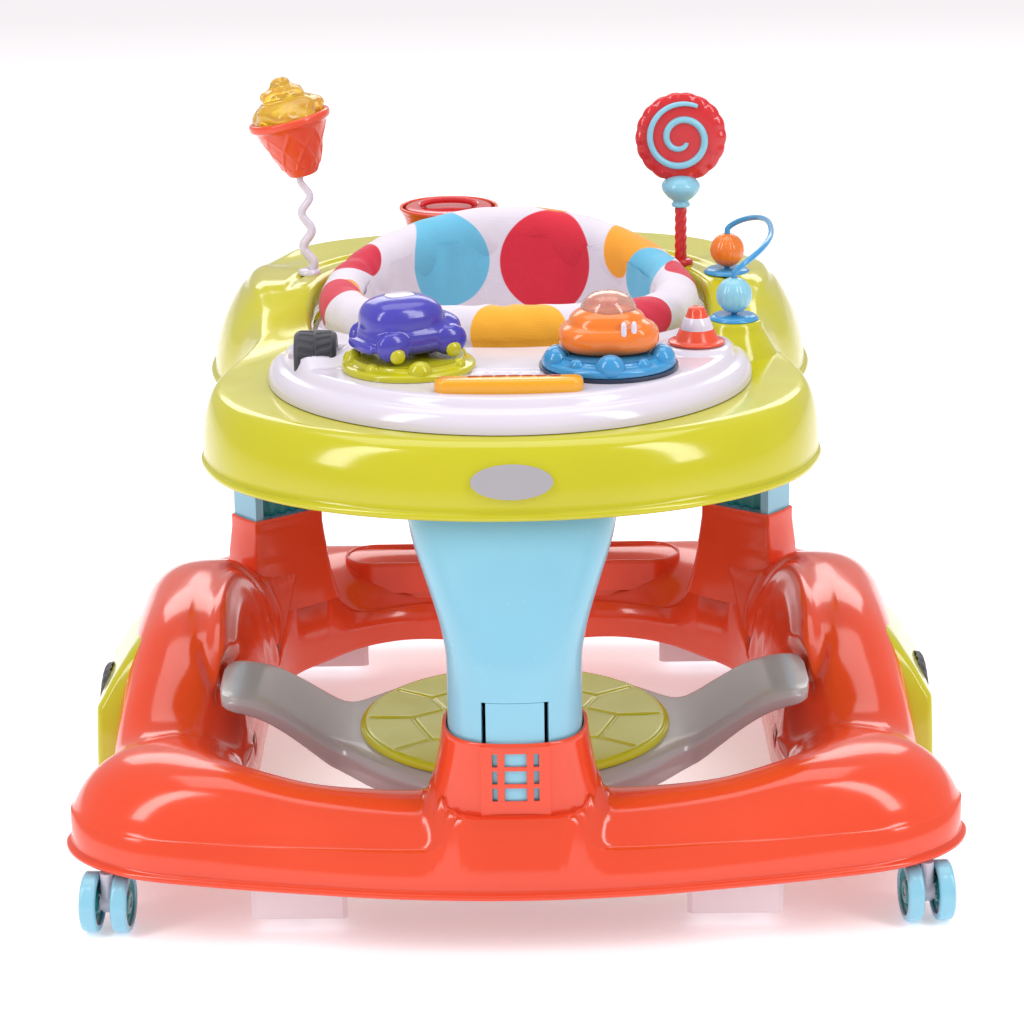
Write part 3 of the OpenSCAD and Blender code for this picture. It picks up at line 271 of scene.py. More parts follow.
# Plated steel: bright with fine drawn lines
def platedSteel(name, colour, rough):
    material, tree = newMaterial(name)
    place = addNode(tree, "ShaderNodeTexCoord").outputs["Object"]
    long = addNode(tree, "ShaderNodeMapping", values={"Scale": (60, 900, 900)}, links={"Vector": place})
    drawn = addNode(tree, "ShaderNodeTexNoise", values={"Scale": 1.0, "Detail": 3.0},
                    links={"Vector": long.outputs["Vector"]})
    value = addNode(tree, "ShaderNodeMapRange", values={"To Min": rough, "To Max": rough + 0.15},
                    links={"Value": drawn.outputs["Fac"]})
    shader = addNode(tree, "ShaderNodeBsdfPrincipled", values={"Base Color": toLinear(colour), "Metallic": 1.0},
                     links={"Roughness": value.outputs["Result"]})
    addNode(tree, "ShaderNodeOutputMaterial", links={"Surface": shader.outputs[0]})
    return material


zincSteel = platedSteel("steel zinc plated", "#c9c9cc", 0.28)
foilMetal = platedSteel("aluminium foil satin", "#d8d4da", 0.32)


# Tinted clear plastic: light goes through, with a pale skin of reflection
def clearPlastic(name, colour, through=0.8):
    material, tree = newMaterial(name)
    place = addNode(tree, "ShaderNodeTexCoord").outputs["Object"]
    flow = addNode(tree, "ShaderNodeTexNoise", values={"Scale": 40.0}, links={"Vector": place})
    bump = addNode(tree, "ShaderNodeBump", values={"Strength": 0.15, "Distance": 0.001},
                   links={"Height": flow.outputs["Fac"]})
    shader = addNode(tree, "ShaderNodeBsdfPrincipled",
                     values={"Base Color": toLinear(colour), "Roughness": 0.12, "IOR": 1.5,
                             "Transmission Weight": through},
                     links={"Normal": bump.outputs["Normal"]})
    addNode(tree, "ShaderNodeOutputMaterial", links={"Surface": shader.outputs[0]})
    return material


clearCover = clearPlastic("polycarbonate moulded clear", "#ffd9c8")
amberScoop = clearPlastic("polycarbonate moulded amber", "#ffd84a", 0.6)


# Printed polyester over foam: a 0.8 mm weave drawn as coarse as 1.2 mm so that it shows, with
# large round dots printed on white; each dot is a ball of space in mm (x, y, z, radius, colour)
def printedCloth(name, dots):
    material, tree = newMaterial(name)
    place = addNode(tree, "ShaderNodeTexCoord").outputs["Object"]
    fade = addNode(tree, "ShaderNodeTexNoise", values={"Scale": 30.0, "Detail": 4.0}, links={"Vector": place})
    ground = addNode(tree, "ShaderNodeMix", {"data_type": "RGBA"},
                     {"A": toLinear("#e4dde8"), "B": toLinear("#d8d0de")}, {"Factor": fade.outputs["Fac"]})
    colour = ground.outputs["Result"]
    for x, y, z, radius, code in dots:
        away = addNode(tree, "ShaderNodeVectorMath", {"operation": "DISTANCE"}, {1: (x * mm, y * mm, z * mm)},
                       {0: place})
        inside = addNode(tree, "ShaderNodeMapRange", values={"From Min": (radius - 0.5) * mm,
                         "From Max": (radius + 0.5) * mm, "To Min": 1.0, "To Max": 0.0},
                         links={"Value": away.outputs["Value"]})
        printed = addNode(tree, "ShaderNodeMix", {"data_type": "RGBA"}, {"B": toLinear(code)},
                          {"A": colour, "Factor": inside.outputs["Result"]})
        colour = printed.outputs["Result"]
    threads = []
    for axis in ("X", "Y", "Z"):
        wave = addNode(tree, "ShaderNodeTexWave", {"wave_type": "BANDS", "bands_direction": axis},
                       {"Scale": 260.0, "Distortion": 0.4}, {"Vector": place})
        threads.append(wave.outputs["Fac"])
    pair = addNode(tree, "ShaderNodeMath", {"operation": "MULTIPLY"}, links={0: threads[0], 1: threads[1]})
    weave = addNode(tree, "ShaderNodeMath", {"operation": "ADD"}, links={0: pair.outputs[0], 1: threads[2]})
    soft = addNode(tree, "ShaderNodeTexNoise", values={"Scale": 55.0, "Detail": 3.0}, links={"Vector": place})
    crease = addNode(tree, "ShaderNodeBump", values={"Strength": 0.25, "Distance": 0.003},
                     links={"Height": soft.outputs["Fac"]})
    bump = addNode(tree, "ShaderNodeBump", values={"Strength": 0.25, "Distance": 0.0004},
                   links={"Height": weave.outputs[0], "Normal": crease.outputs["Normal"]})
    shader = addNode(tree, "ShaderNodeBsdfPrincipled",
                     values={"Roughness": 0.8, "Sheen Weight": 0.25, "Sheen Roughness": 0.4, "IOR": 1.46},
                     links={"Base Color": colour, "Normal": bump.outputs["Normal"]})
    addNode(tree, "ShaderNodeOutputMaterial", links={"Surface": shader.outputs[0]})
    return material


print("materials made")


base = {"halfW": 357.0, "halfL": 366.0, "rimZ": 46.5, "rimLift": 7.0, "barZ": 114.0, "podZ": 187.0,
        "holeW": 448.0, "holeL": 524.0, "wall": 3.0, "ringSteps": 14, "archSteps": 66}
baseRows = np.array([
    [0.00, -1.000, 0.00, -1.00, 0.00], [0.25, -0.987, 0.38, -1.00, 0.00], [0.47, -0.957, 0.67, -1.00, 0.06],
    [0.67, -0.925, 0.87, -0.96, 0.20], [0.84, -0.885, 0.95, -0.87, 0.24], [0.955, -0.805, 0.98, -0.79, 0.24],
    [1.00, -0.700, 0.99, -0.70, 0.19], [0.975, -0.600, 0.99, -0.60, 0.07], [0.943, -0.500, 0.98, -0.50, 0.17],
    [0.940, -0.350, 0.97, -0.38, 0.57], [0.940, -0.180, 0.97, -0.23, 0.88], [0.940, 0.020, 0.97, 0.00, 1.00],
    [0.940, 0.220, 0.96, 0.30, 0.97], [0.940, 0.410, 0.90, 0.53, 0.63], [0.950, 0.570, 0.77, 0.69, 0.33],
    [0.955, 0.730, 0.64, 0.82, 0.20], [0.900, 0.875, 0.50, 0.90, 0.17], [0.720, 0.965, 0.37, 0.94, 0.14],
    [0.410, 0.990, 0.22, 0.95, 0.11], [0.000, 1.000, 0.00, 0.95, 0.11]])
baseRows = baseRows * np.array([base["halfW"], base["halfL"], base["holeW"] / 2, base["holeL"] / 2, 1])
socket = {"y": -305.0, "halfW": 56.5, "halfD": 57.0, "top": 173.0, "flare": 16.0, "foot": 60.0}
tower = {"x": 215.0, "y": 170.0, "long": 77.0, "short": 43.0, "top": 203.0, "turn": 38.0,
         "flare": 13.0, "foot": 84.0, "knee": 192.0, "corner": 7.0}


# Distance outside a rounded rectangle standing at the tower, in plan
def towerAway(x, y):
    turn = math.radians(tower["turn"])
    dx, dy = np.abs(x) - tower["x"], y - tower["y"]
    u = np.abs(dx * math.cos(turn) - dy * math.sin(turn)) - tower["long"] / 2 + tower["corner"]
    v = np.abs(dx * math.sin(turn) + dy * math.cos(turn)) - tower["short"] / 2 + tower["corner"]
    outside = np.hypot(np.maximum(u, 0), np.maximum(v, 0)) + np.minimum(np.maximum(u, v), 0)
    return outside - tower["corner"]


# Distance outside the socket's superellipse, r (1 - 1/f) with f the outline's level
def socketAway(x, y):
    dx, dy = x, y - socket["y"]
    f = (np.abs(dx / socket["halfW"]) ** 2.6 + np.abs(dy / socket["halfD"]) ** 2.6) ** (1 / 2.6) + 1e-6
    return np.hypot(dx, dy) * (1 - 1 / f)


# Larger of two heights with a rounded valley of size k
def softMax(a, b, k):
    return 0.5 * (a + b + np.sqrt((a - b) ** 2 + k * k))


def rimAt(x):
    return base["rimZ"] + base["rimLift"] * (x / base["halfW"]) ** 2


# The ring: round each station an arch of superellipse quarters, z = foot + (top - foot) sin(a)^(2/p),
# across = peak (1 - cos(a)^(2/p)); towers and socket raise it by trumpet feet; each pod has a groove and a
# raised lip curved like a C round its inner face
def ringPoints():
    rows = mirroredLoop(baseRows, base["ringSteps"])
    xo, yo, xi, yi, share = (rows[:, k:k + 1] for k in range(5))
    share = np.clip(share, 0, 1.02)
    width = np.hypot(xi - xo, yi - yo)
    a = np.linspace(0, np.pi, base["archSteps"])[None, :]
    a = a + 0.16 * np.sin(2 * a) * -0.5
    peak = 0.46 + 0.2 * share
    p = np.where(a < np.pi / 2, 2 + 1.3 * share, 2.2)
    u = np.where(a < np.pi / 2, peak * (1 - power(np.cos(a), p)), peak + (1 - peak) * power(-np.cos(a), 2.2))
    rim = rimAt(xo)
    foot = np.where(a < np.pi / 2, rim + 7.5, rim + 8)
    top = mix(base["barZ"], base["podZ"], share)
    z = foot + (top - foot) * power(np.sin(a), p)
    # Rolled lip, then the arch, then the inner edge down to the rim
    lip = np.array([[2.5, 0.4], [0.5, 0.0], [-1.6, 0.0], [-3.4, 0.5], [-4.7, 1.7], [-5.0, 3.0], [-4.6, 4.3],
                    [-3.4, 5.2], [-1.8, 5.6], [-0.7, 6.1], [-0.15, 6.8]])
    tail = np.array([[0.0, 5.0], [0.0, 2.5], [0.0, 0.0]])
    lipU = lip[None, :, 0] / width
    lipZ = rim + lip[None, :, 1]
    tailU = np.ones((len(rows), len(tail)))
    tailZ = rim + tail[None, :, 1]
    u, z = np.concatenate([lipU, u, tailU], 1), np.concatenate([lipZ, z, tailZ], 1)
    x, y = mix(xo, xi, u), mix(yo, yi, u)
    inside = np.zeros_like(u)
    inside[:, len(lip) + 2:-len(tail) - 3] = 1
    # Trumpet feet of the towers and the socket
    away = np.maximum(towerAway(x, y), 0)
    trumpet = tower["foot"] + (tower["knee"] - tower["foot"]) * np.exp(-away / tower["flare"])
    trumpet = np.minimum(trumpet, 150)
    z = np.where(inside > 0, softMax(z, trumpet, 7) - 0.15, z)
    away = np.maximum(socketAway(x, y), 0)
    trumpet = socket["foot"] + (socket["top"] - socket["foot"]) * np.exp(-away / socket["flare"])
    trumpet = np.minimum(trumpet, mix(113, 150, ramp(np.abs(x), 46, 80)))
    z = np.where(inside > 0, softMax(z, trumpet, 6) - 0.1, z)
    points = np.stack([x, y, z], -1)
    # Local normal from the two grid directions
    du = np.gradient(points, axis=1)
    dv = np.roll(points, -1, 0) - np.roll(points, 1, 0)
    normal = np.cross(dv, du)
    normal /= np.linalg.norm(normal, axis=-1, keepdims=True) + 1e-9
    normal *= np.sign(normal[..., 2:3] + 1e-6)
    # Groove and ridge of the pods: a C whose ends turn to the inner edge
    pod = ramp(share, 0.2, 0.55) * inside
    swing = np.abs((y + 32) / 128)
    line = 0.60 + 0.34 * swing ** 3.2
    groove = np.exp(-((u - line) * width / 7.5) ** 2)
    ridge = np.exp(-((u - line - 0.135) * width / 6.0) ** 2)
    inner = ramp((u - line - 0.235) * width, 0, 9)
    shift = pod * (-4.2 * groove + 3.6 * ridge - 3.5 * inner)
    points = points + normal * shift[..., None]
    # Pocket that takes the end of the footrest's arm, pushed outwards into the pod
    hollow = np.abs((y + 130) / 57) ** 4 + np.abs((z - 141) / 15) ** 4
    mask = np.exp(-hollow ** 1.2) * ramp(u, 0.72, 0.86) * inside
    points[..., 0] += np.sign(x) * 15 * mask
    return points


def baseShell():
    points = ringPoints()
    shell = gridPiece("baseShell", points, closeRows=True, closed=False)
    addModifier(shell, "SOLIDIFY", thickness=2.6 * mm, offset=-1.0)
    return shell


ringShell = baseShell()
print("ring made", len(ringShell.data.polygons))


# Tower wall: outline of a rounded rectangle grown by the same trumpet as the foot, doubled over at the top
def towerWall(side):
    levels = np.concatenate([np.linspace(118, 190, 26), np.linspace(191.5, 201.2, 6)])
    ratio = np.clip((levels - tower["foot"]) / (tower["knee"] - tower["foot"]), 0.01, 1)
    grow = np.maximum(-tower["flare"] * np.log(ratio), 0) - np.where(levels < 166, 0.5, 0)
    grow = np.concatenate([grow, [-0.3, -0.9, -1.6, -2.4, -3, -3, -3]])
    levels = np.concatenate([levels, [202.2, 202.9, 203, 202.6, 201.6, 190, 165]])
    a = np.linspace(0, 2 * np.pi, 96, endpoint=False)
    cx, cy = np.cos(a)[None], np.sin(a)[None]
    c = np.maximum(tower["corner"] + grow[:, None], 1.5)
    hx = tower["long"] / 2 - tower["corner"]
    hy = tower["short"] / 2 - tower["corner"]
    # Corner centres follow the sign of the angle's cosine and sine, softened so that the flats have points
    sx = np.clip(np.tan(np.clip(np.arcsin(cx) * 0.999, -1.5, 1.5)) * 1.2, -1, 1)
    sy = np.clip(np.tan(np.clip(np.arcsin(cy) * 0.999, -1.5, 1.5)) * 1.2, -1, 1)
    u = hx * sx + c * cx
    v = hy * sy + c * cy
    turn = math.radians(-tower["turn"])
    px = tower["x"] + u * math.cos(turn) - v * math.sin(turn)
    py = tower["y"] + u * math.sin(turn) + v * math.cos(turn)
    z = np.broadcast_to(levels[:, None], px.shape)
    return gridPiece("towerWall" + hand(side), np.stack([side * px, py, z], -1),
                     closeCols=True, closed=True)


# Socket wall: superellipse outline grown by the trumpet; the middle of its front is open for the window plate
window = {"halfW": 24.0, "low": 115.0}


def socketWall():
    levels = np.unique(np.concatenate([np.linspace(56, 171, 40), [window["low"]]]))
    ratio = np.clip((levels - socket["foot"]) / (socket["top"] - socket["foot"]), 0.008, 1)
    grow = np.maximum(-socket["flare"] * np.log(ratio), 0)
    grow = np.minimum(grow, 26)
    grow = np.concatenate([grow, [-0.4, -1.2, -2.2, -2.9, -3, -3]])
    levels = np.concatenate([levels, [172.2, 172.9, 173, 172.6, 165, 120]])
    edge = math.acos((window["halfW"] / socket["halfW"]) ** (2.6 / 2))
    a = np.concatenate([np.linspace(edge - np.pi, -edge, 15)[:-1], np.linspace(-edge, np.pi + edge, 120)[:-1]])
    x, y = oval(1, 1, 2.6, a)
    px = socket["halfW"] * x[None] + grow[:, None] * x[None] * ramp(np.abs(x[None]), 0.45, 0.95)
    deeper = np.where(y < 0, np.minimum(grow[:, None], 0), np.minimum(grow[:, None], 3))
    py = socket["y"] + (socket["halfD"] + deeper) * y[None]
    z = np.broadcast_to(levels[:, None], px.shape)
    below = int(np.searchsorted(levels[:-6], window["low"]))
    last = len(levels)
    return gridPiece("socketWall", np.stack([px, py, z], -1), closeCols=True, closed=False,
                     keep=lambda i, j: ~((j < 14) & (((i >= below) & (i < last - 7)) | (i >= last - 3))))


# Flat plate with three rows of windows, sunk in the front of the socket
def windowPlate():
    xs = np.array([-27, -18, -14, -8.5, 8.5, 14, 18, 27])
    zs = np.array([110, 126, 136.5, 140, 150.5, 154, 164.5, 171])
    x, z = np.meshgrid(xs, zs, indexing="ij")
    holes = np.zeros((len(xs) - 1, len(zs) - 1), bool)
    for col in (1, 3, 5):
        for row in (1, 3, 5):
            holes[col, row] = True
    plate = gridPiece("windowPlate", np.stack([x, np.full_like(x, socket["y"] - 54.6), z], -1), closed=False,
                      keep=lambda i, j: ~holes[i, j])
    plate.data.polygons.foreach_set("use_smooth", np.zeros(len(plate.data.polygons), dtype=bool))
    addModifier(plate, "SOLIDIFY", thickness=1.2 * mm, offset=0.0)
    addModifier(plate, "BEVEL", width=0.4 * mm, segments=2, limit_method="ANGLE")
    return plate


# Storage tray in the rear bar: a stadium wall with a rounded rim
def storageBin():
    a = np.linspace(0, 2 * np.pi, 120, endpoint=False)
    offsets = np.array([3.4, 3.2, 3.0, 3.2, 2.4, 1.2, 0.2, 0, 0, -2.0, -28])
    levels = np.array([96.0, 110, 121, 123.6, 125.2, 125.6, 124.6, 122, 90, 85, 85])
    r = 28 + offsets[:, None]
    x = 128 * np.sign(np.cos(a))[None] * (np.abs(np.cos(a)) > 1e-9) + np.maximum(r, 0.0) * np.cos(a)[None]
    y = 279 + np.maximum(r, 0.0) * np.sin(a)[None]
    return gridPiece("storageBin", np.stack([x, y, np.broadcast_to(levels[:, None], x.shape)], -1),
                     closeCols=True, closed=False)


finishPiece(ringShell, orangePlastic, "base", "base_shell")
for side in (1, -1):
    finishPiece(towerWall(side), orangePlastic, "base")
finishPiece(socketWall(), orangePlastic, "base")
finishPiece(windowPlate(), orangePlastic, "base")
finishPiece(storageBin(), orangePlastic, "base")
print("base made")


# Side panel: a half-wheel outline, y and z on a superellipse of share f, over a profile x(z); its edge rolls in
sidePanel = {"y": -20.0, "halfL": 90.0, "low": 49.0, "top": 172.0,
             "profile": [[46, 353], [112, 352], [122, 347], [150, 327], [166, 312], [178, 300], [186, 290]]}


def sidePanelSkin(side):
    a = np.linspace(0, np.pi, 90)[:, None]
    f = np.concatenate([np.linspace(0.0, 0.9, 30), [0.93, 0.955, 0.975, 0.99, 1.0, 1.0, 1.0]])[None, :]
    roll = np.concatenate([np.zeros(30), [0.15, 0.5, 1.2, 2.4, 5, 17, 34]])[None, :]
    ox, oz = oval(sidePanel["halfL"], sidePanel["top"] - sidePanel["low"], 2.4, a)
    y, z = sidePanel["y"] + ox * f, sidePanel["low"] + oz * f
    line = np.array(sidePanel["profile"], float)
    x = np.interp(z, line[:, 0], line[:, 1]) - roll
    x = x - 1.5 * ramp(z, 108, 120) * (1 - ramp(z, 120, 135))
    return gridPiece("sidePanel" + hand(side), np.stack([side * x, y, z], -1), closed=False)


# Half tyre trim with tread blocks: radius grows by the tread round the edge
def tyreTrim(side):
    profile = smoothRows(np.array([[43, 353.2], [44, 354.3], [48, 355.2], [54, 355.4], [58, 354.6],
                                   [60.5, 352.5],
                                   [61, 349]]), 5)
    a = np.linspace(0, np.pi, 160)[:, None]
    blocks = 0.5 + 0.5 * np.sign(np.sin(a * 34))
    r = profile[None, :, 0] * np.ones_like(a)
    x = profile[None, :, 1] - 1.0 * (1 - blocks) * ramp(profile[None, :, 0], 51, 53)
    y, z = -20 + r * np.cos(a), 51 + r * np.sin(a) * 1.15
    return gridPiece("tyreTrim" + hand(side), np.stack([side * x, y, z], -1), closed=False)


def hubTrim(side):
    profile = smoothRows(np.array([[0, 356], [9, 356], [10, 355], [12, 355], [13, 356.2], [18, 356],
                                   [24, 354.5],
                                   [26.5, 352.5]]), 4)
    a = np.linspace(0, np.pi, 64)[:, None]
    r = profile[None, :, 0] * np.ones_like(a)
    x = profile[None, :, 1] + 0 * a
    return gridPiece("hubTrim" + hand(side),
                     np.stack([side * x, -20 + r * np.cos(a), 51 + r * np.sin(a) * 1.15], -1), closed=False)


for side, word in ((1, "right"), (-1, "left")):
    panel = finishPiece(sidePanelSkin(side), limePlastic, "base", "wheel_panel_" + word)
    addModifier(panel, "SOLIDIFY", thickness=2 * mm, offset=0.0)
trims = [tyreTrim(1), tyreTrim(-1)]
for piece in trims:
    finishPiece(piece, tyreRubber, "base", "wheel_tyres")
    addModifier(piece, "SOLIDIFY", thickness=1.5 * mm, offset=0.0)
for piece in (hubTrim(1), hubTrim(-1)):
    finishPiece(piece, skyPlastic, "base", "hub_caps")
    addModifier(piece, "SOLIDIFY", thickness=1.5 * mm, offset=0.0)
print("side panels made")


foot = {"y": -130.0, "discR": 129.0, "plateZ": 104.0, "discZ": 110.0, "armHalf": 51.0, "endX": 243.0,
        "endZ": 148.0, "skirt": 25.0, "endSkirt": 13.0}


# Gull wing: at each x the section is a superellipse on top with a skirt below, half width w(x), height z(x)
def footPlate():
    x = np.linspace(-foot["endX"], foot["endX"], 180)
    ax = np.abs(x)
    z = np.interp(ax, [0, 131, 146, 170, 198, 214, 232, 243], [104, 104, 107.5, 124, 141, 146, 148, 147.5])
    z = np.convolve(np.pad(z, 5, mode="edge"), np.ones(11) / 11, "valid")
    circle = np.sqrt(np.maximum((foot["discR"] + 15) ** 2 - x ** 2, 0))
    half = softMax(circle, np.interp(ax, [90, 210, 260], [62, 51, 50]), 22) - 1
    half = half * np.interp(ax, [0, 228, 236, 240, 242.4, 243], [1, 1, 0.95, 0.86, 0.7, 0.5])
    drop = np.interp(ax, [0, 150, 232, 243], [foot["skirt"], foot["skirt"], foot["endSkirt"], 9])
    a = np.linspace(0, 2 * np.pi, 72, endpoint=False)[None, :]
    across = np.sign(np.cos(a)) * power(np.abs(np.cos(a)), 7.0)
    height = np.where(np.sin(a) > 0, power(np.abs(np.sin(a)), 5.5), -power(np.abs(np.sin(a)), 8))
    y = half[:, None] * across
    yy = np.maximum(foot["y"] + y, -257)  # the front edge is cut back for the socket and the bar
    zz = z[:, None] - 0.5 * drop[:, None] + 0.5 * drop[:, None] * height
    zz = zz - 1.6 * ramp(np.abs(across), 0.90, 0.99) * (np.sin(a) > 0)
    keep = np.stack([np.broadcast_to(x[:, None], yy.shape), yy, zz], -1)
    ends = [np.repeat(keep[k:k + 1].mean(1, keepdims=True), 72, 1) for k in (0, -1)]
    return gridPiece("footPlate", np.concatenate([ends[0], keep, ends[1]]), closeCols=True)


# Round standing disc embossed like a stitched ball: grooves along the edges of a pentagon and its neighbours
def footDisc():
    a = np.linspace(0, 2 * np.pi, 300, endpoint=False)[:, None]
    r = np.concatenate([np.linspace(0, 122, 150), [124, 126, 127.4, 128.4, 129, 129, 128.6, 120]])[None, :]
    z = np.concatenate([np.full(150, 110.0), [109.9, 109.5, 108.7, 107.5, 106, 104.4, 103.8, 103.6]])[None, :]
    x, y = r * np.cos(a), r * np.sin(a)
    spokes = np.radians(90 + 72 * np.arange(5))
    pent = np.stack([30 * np.cos(spokes), 30 * np.sin(spokes)], -1)
    mid = np.stack([62 * np.cos(spokes), 62 * np.sin(spokes)], -1)
    far = []
    for k in range(5):
        for bend in (-17, 17):
            angle = spokes[k] + math.radians(bend)
            far.append((86 * math.cos(angle), 86 * math.sin(angle)))
    lines = [(pent[k], pent[(k + 1) % 5]) for k in range(5)] + [(pent[k], mid[k]) for k in range(5)]
    for k in range(5):
        left, right = np.array(far[2 * k]), np.array(far[2 * k + 1])
        lines += [(mid[k], left), (mid[k], right), (right, np.array(far[(2 * k + 2) % 10]))]
        for corner in (left, right):
            lines.append((corner, corner * 122 / 86))
    groove = np.zeros_like(x)
    for start, end in lines:
        along = end - start
        t = np.clip(((x - start[0]) * along[0] + (y - start[1]) * along[1]) / (along @ along), 0, 1)
        away = np.hypot(x - start[0] - t * along[0], y - start[1] - t * along[1])
        groove = np.maximum(groove, np.exp(-(away / 1.3) ** 2))
    z = z + 0 * x - 1.3 * groove * (r < 122)
    y = np.maximum(y, -126.5)
    return gridPiece("footDisc", np.stack([x, foot["y"] + y, z], -1), closeRows=True, closed=False)


finishPiece(footPlate(), greyPlastic, "base", "footrest_plate")
finishPiece(footDisc(), limePlastic, "base", "footrest_disc")
print("footrest made")


column = {"r": 52.5, "d": 53.0, "topR": 82.0, "y": -305.0, "latchTop": 205.0, "latchHalf": 22.5, "slot": 3.4}
columnRows = np.array([[96, 52.5, 53, -305], [130, 52.5, 53, -305], [213, 52.5, 53, -305],
                       [228, 52.9, 53, -304],
                       [240, 54.4, 53, -302], [261, 59.6, 53, -296], [289, 69.4, 54, -284],
                       [312, 77.5, 54, -274],
                       [333, 81.6, 54, -267], [357, 82, 53, -261], [380, 76, 45, -253],
                       [396.5, 70, 39, -247]], float)


# Column: superellipses of changing width up a curve; the front is open where the latch tab sits
def columnWall(tab):
    edge = column["latchHalf"] if tab else column["latchHalf"] + column["slot"]
    cut = math.acos((edge / column["r"]) ** 1.3)
    front = np.linspace(cut - np.pi, -cut, 21)
    rows = smoothRows(columnRows[2:], 7)
    low = np.array([[z, 52.5, 53, -305] for z in np.linspace(96, 204, 28)] + [[204.9, 52.5, 53, -305]])
    rows = np.vstack([low, rows[rows[:, 0] > 206]])
    if tab:
        rows, a = np.vstack([low[:-1], [[204.7, 52.5, 53, -305]]]), front
    else:
        a = np.concatenate([front[:-1], np.linspace(-cut, np.pi + cut, 110)[:-1]])
    x, y = oval(1, 1, 2.6, a)
    px, py = rows[:, 1:2] * x[None], rows[:, 3:4] + rows[:, 2:3] * y[None]
    z = np.broadcast_to(rows[:, :1], px.shape)
    points = np.stack([px, py, z], -1)
    if tab:
        return gridPiece("latchTab", points, closed=False)
    return gridPiece("frontColumn", points, closeCols=True, closed=False,
                     keep=lambda i, j: ~((j < 20) & (i < len(low) - 1)))


piece = finishPiece(columnWall(False), skyPlastic, "upper", "front_column")
addModifier(piece, "SOLIDIFY", thickness=2.8 * mm, offset=1.0)
addModifier(piece, "BEVEL", width=0.3 * mm, segments=2, limit_method="ANGLE", harden_normals=True)
piece = finishPiece(columnWall(True), skyPlastic, "latch", "height_latch")
addModifier(piece, "SOLIDIFY", thickness=2.6 * mm, offset=1.0)
addModifier(piece, "BEVEL", width=0.3 * mm, segments=2, limit_method="ANGLE", harden_normals=True)


# Ribs in the open channel of a rear leg: a teal tray whose depth follows a row of square waves; the teal is
# painted shade of the sky-blue leg's inner channel
def paintedShadeLegInsert(side):
    u = np.linspace(-27, 27, 70)[:, None]
    z = np.linspace(203, 372, 60)[None, :]
    rib = np.clip(4 * np.sin(u / 54 * 2 * np.pi * 4.5 + 1.2), -1, 1)
    v = -17.4 + 8.0 - 2.2 * (0.5 + 0.5 * rib) + 0 * z
    turn = math.radians(-tower["turn"])
    x = tower["x"] + u * math.cos(turn) - v * math.sin(turn)
    y = tower["y"] + u * math.sin(turn) + v * math.cos(turn)
    return gridPiece("paintedShadeLegInsert" + hand(side), np.stack([side * x, y, z + 0 * x], -1),
                     closed=False)


for side in (1, -1):
    piece = finishPiece(paintedShadeLegInsert(side), paintedShadeTeal, "upper")
    addModifier(piece, "SOLIDIFY", thickness=1 * mm, offset=0.0)
print("column made")


tray = {"w": 526.0, "l": 682.0, "mid": 11.0, "rim": 345.0, "deck": 400.0, "rearDeck": 428.0,
        "holeW": 344.0, "holeL": 352.0, "seatY": 80.0}
trayRows = np.array([[0, -1, 0, 0], [0.345, -0.965, 22, 0], [0.630, -0.865, 40, 0], [0.837, -0.710, 54, 0],
                     [0.937, -0.515, 64, 0], [0.935, -0.350, 70, 0], [0.886, -0.180, 77, 0.06],
                     [0.860, -0.055, 84, 0.25], [0.897, 0.090, 91, 0.62], [0.970, 0.250, 99, 0.95],
                     [1, 0.410, 110, 1], [0.985, 0.570, 122, 1], [0.905, 0.730, 136, 1],
                     [0.740, 0.870, 150, 1],
                     [0.455, 0.965, 165, 1], [0, 1, 180, 1]])
hold = np.radians(trayRows[:, 2])
trayRows = np.stack([trayRows[:, 0] * tray["w"] / 2, tray["mid"] + trayRows[:, 1] * tray["l"] / 2,
                     tray["holeW"] / 2 * np.sin(hold), tray["seatY"] - tray["holeL"] / 2 * np.cos(hold),
                     trayRows[:, 3]], -1)


# Tray: a rolled lip, a quarter superellipse crown, then a deck to the seat opening and a short wall down;
# the rear deck carries a raised field with a groove round it
def trayPoints():
    rows = mirroredLoop(trayRows, 16)
    xo, yo, xi, yi, share = (rows[:, k:k + 1] for k in range(5))
    share = np.clip(share, 0, 1)
    width = np.hypot(xi - xo, yi - yo)
    edge, p = mix(29, 46, share), mix(2.3, 1.7, share)
    top = mix(tray["deck"], tray["rearDeck"], share)
    a = np.linspace(0, np.pi / 2, 30)[None, :]
    crownU = edge * (1 - power(np.cos(a), p))
    crownZ = mix(tray["rim"] + 3.5, top, power(np.sin(a), p))
    t = np.linspace(0, 1, 46)[None, 1:]
    deckU = edge + (width - 7 - edge) * t
    deckZ = top + 0 * t
    b = np.linspace(0, np.pi / 2, 8)[None, 1:]
    wallU = width - 7 + 7 * np.sin(b)
    wallZ = top - 7 * (1 - np.cos(b))
    downU = np.broadcast_to(width, (len(rows), 3)) + 0.0
    downZ = top - np.array([12, 18, 26])[None]
    lip = np.array([[4, -3.2], [1, -3.4], [-1.6, -3.4], [-3.2, -2.8], [-4.1, -1.4], [-4.2, 0.2], [-3.4, 1.7],
                    [-2, 2.4], [-0.8, 2.7]])
    u = np.concatenate([lip[None, :, 0] + 0 * width, crownU, deckU, wallU, downU], 1)
    z = np.concatenate([tray["rim"] + lip[None, :, 1] + 0 * width, crownZ, deckZ, wallZ, downZ], 1)
    x, y = mix(xo, xi, u / width), mix(yo, yi, u / width)
    # Raised field on the rear deck: groove 1.2 mm deep, field 1.5 mm high
    field = ramp(share, 0.9, 1.0)
    outer, inner = u - edge * 0.62, width - u
    near = np.minimum(outer, inner - 22)
    z = z + field * (1.8 * ramp(near, 2, 6) - 1.3 * np.exp(-(near / 2.2) ** 2)) * (u > edge * 0.55)
    # Shallow finger dents at the sides of the rear deck
    dent = np.exp(-(((np.abs(x) - 205) / 20) ** 2 + ((y - 215) / 34) ** 2) ** 1.5)
    z = z - 4.0 * dent * field
    return np.stack([x, y, z], -1)


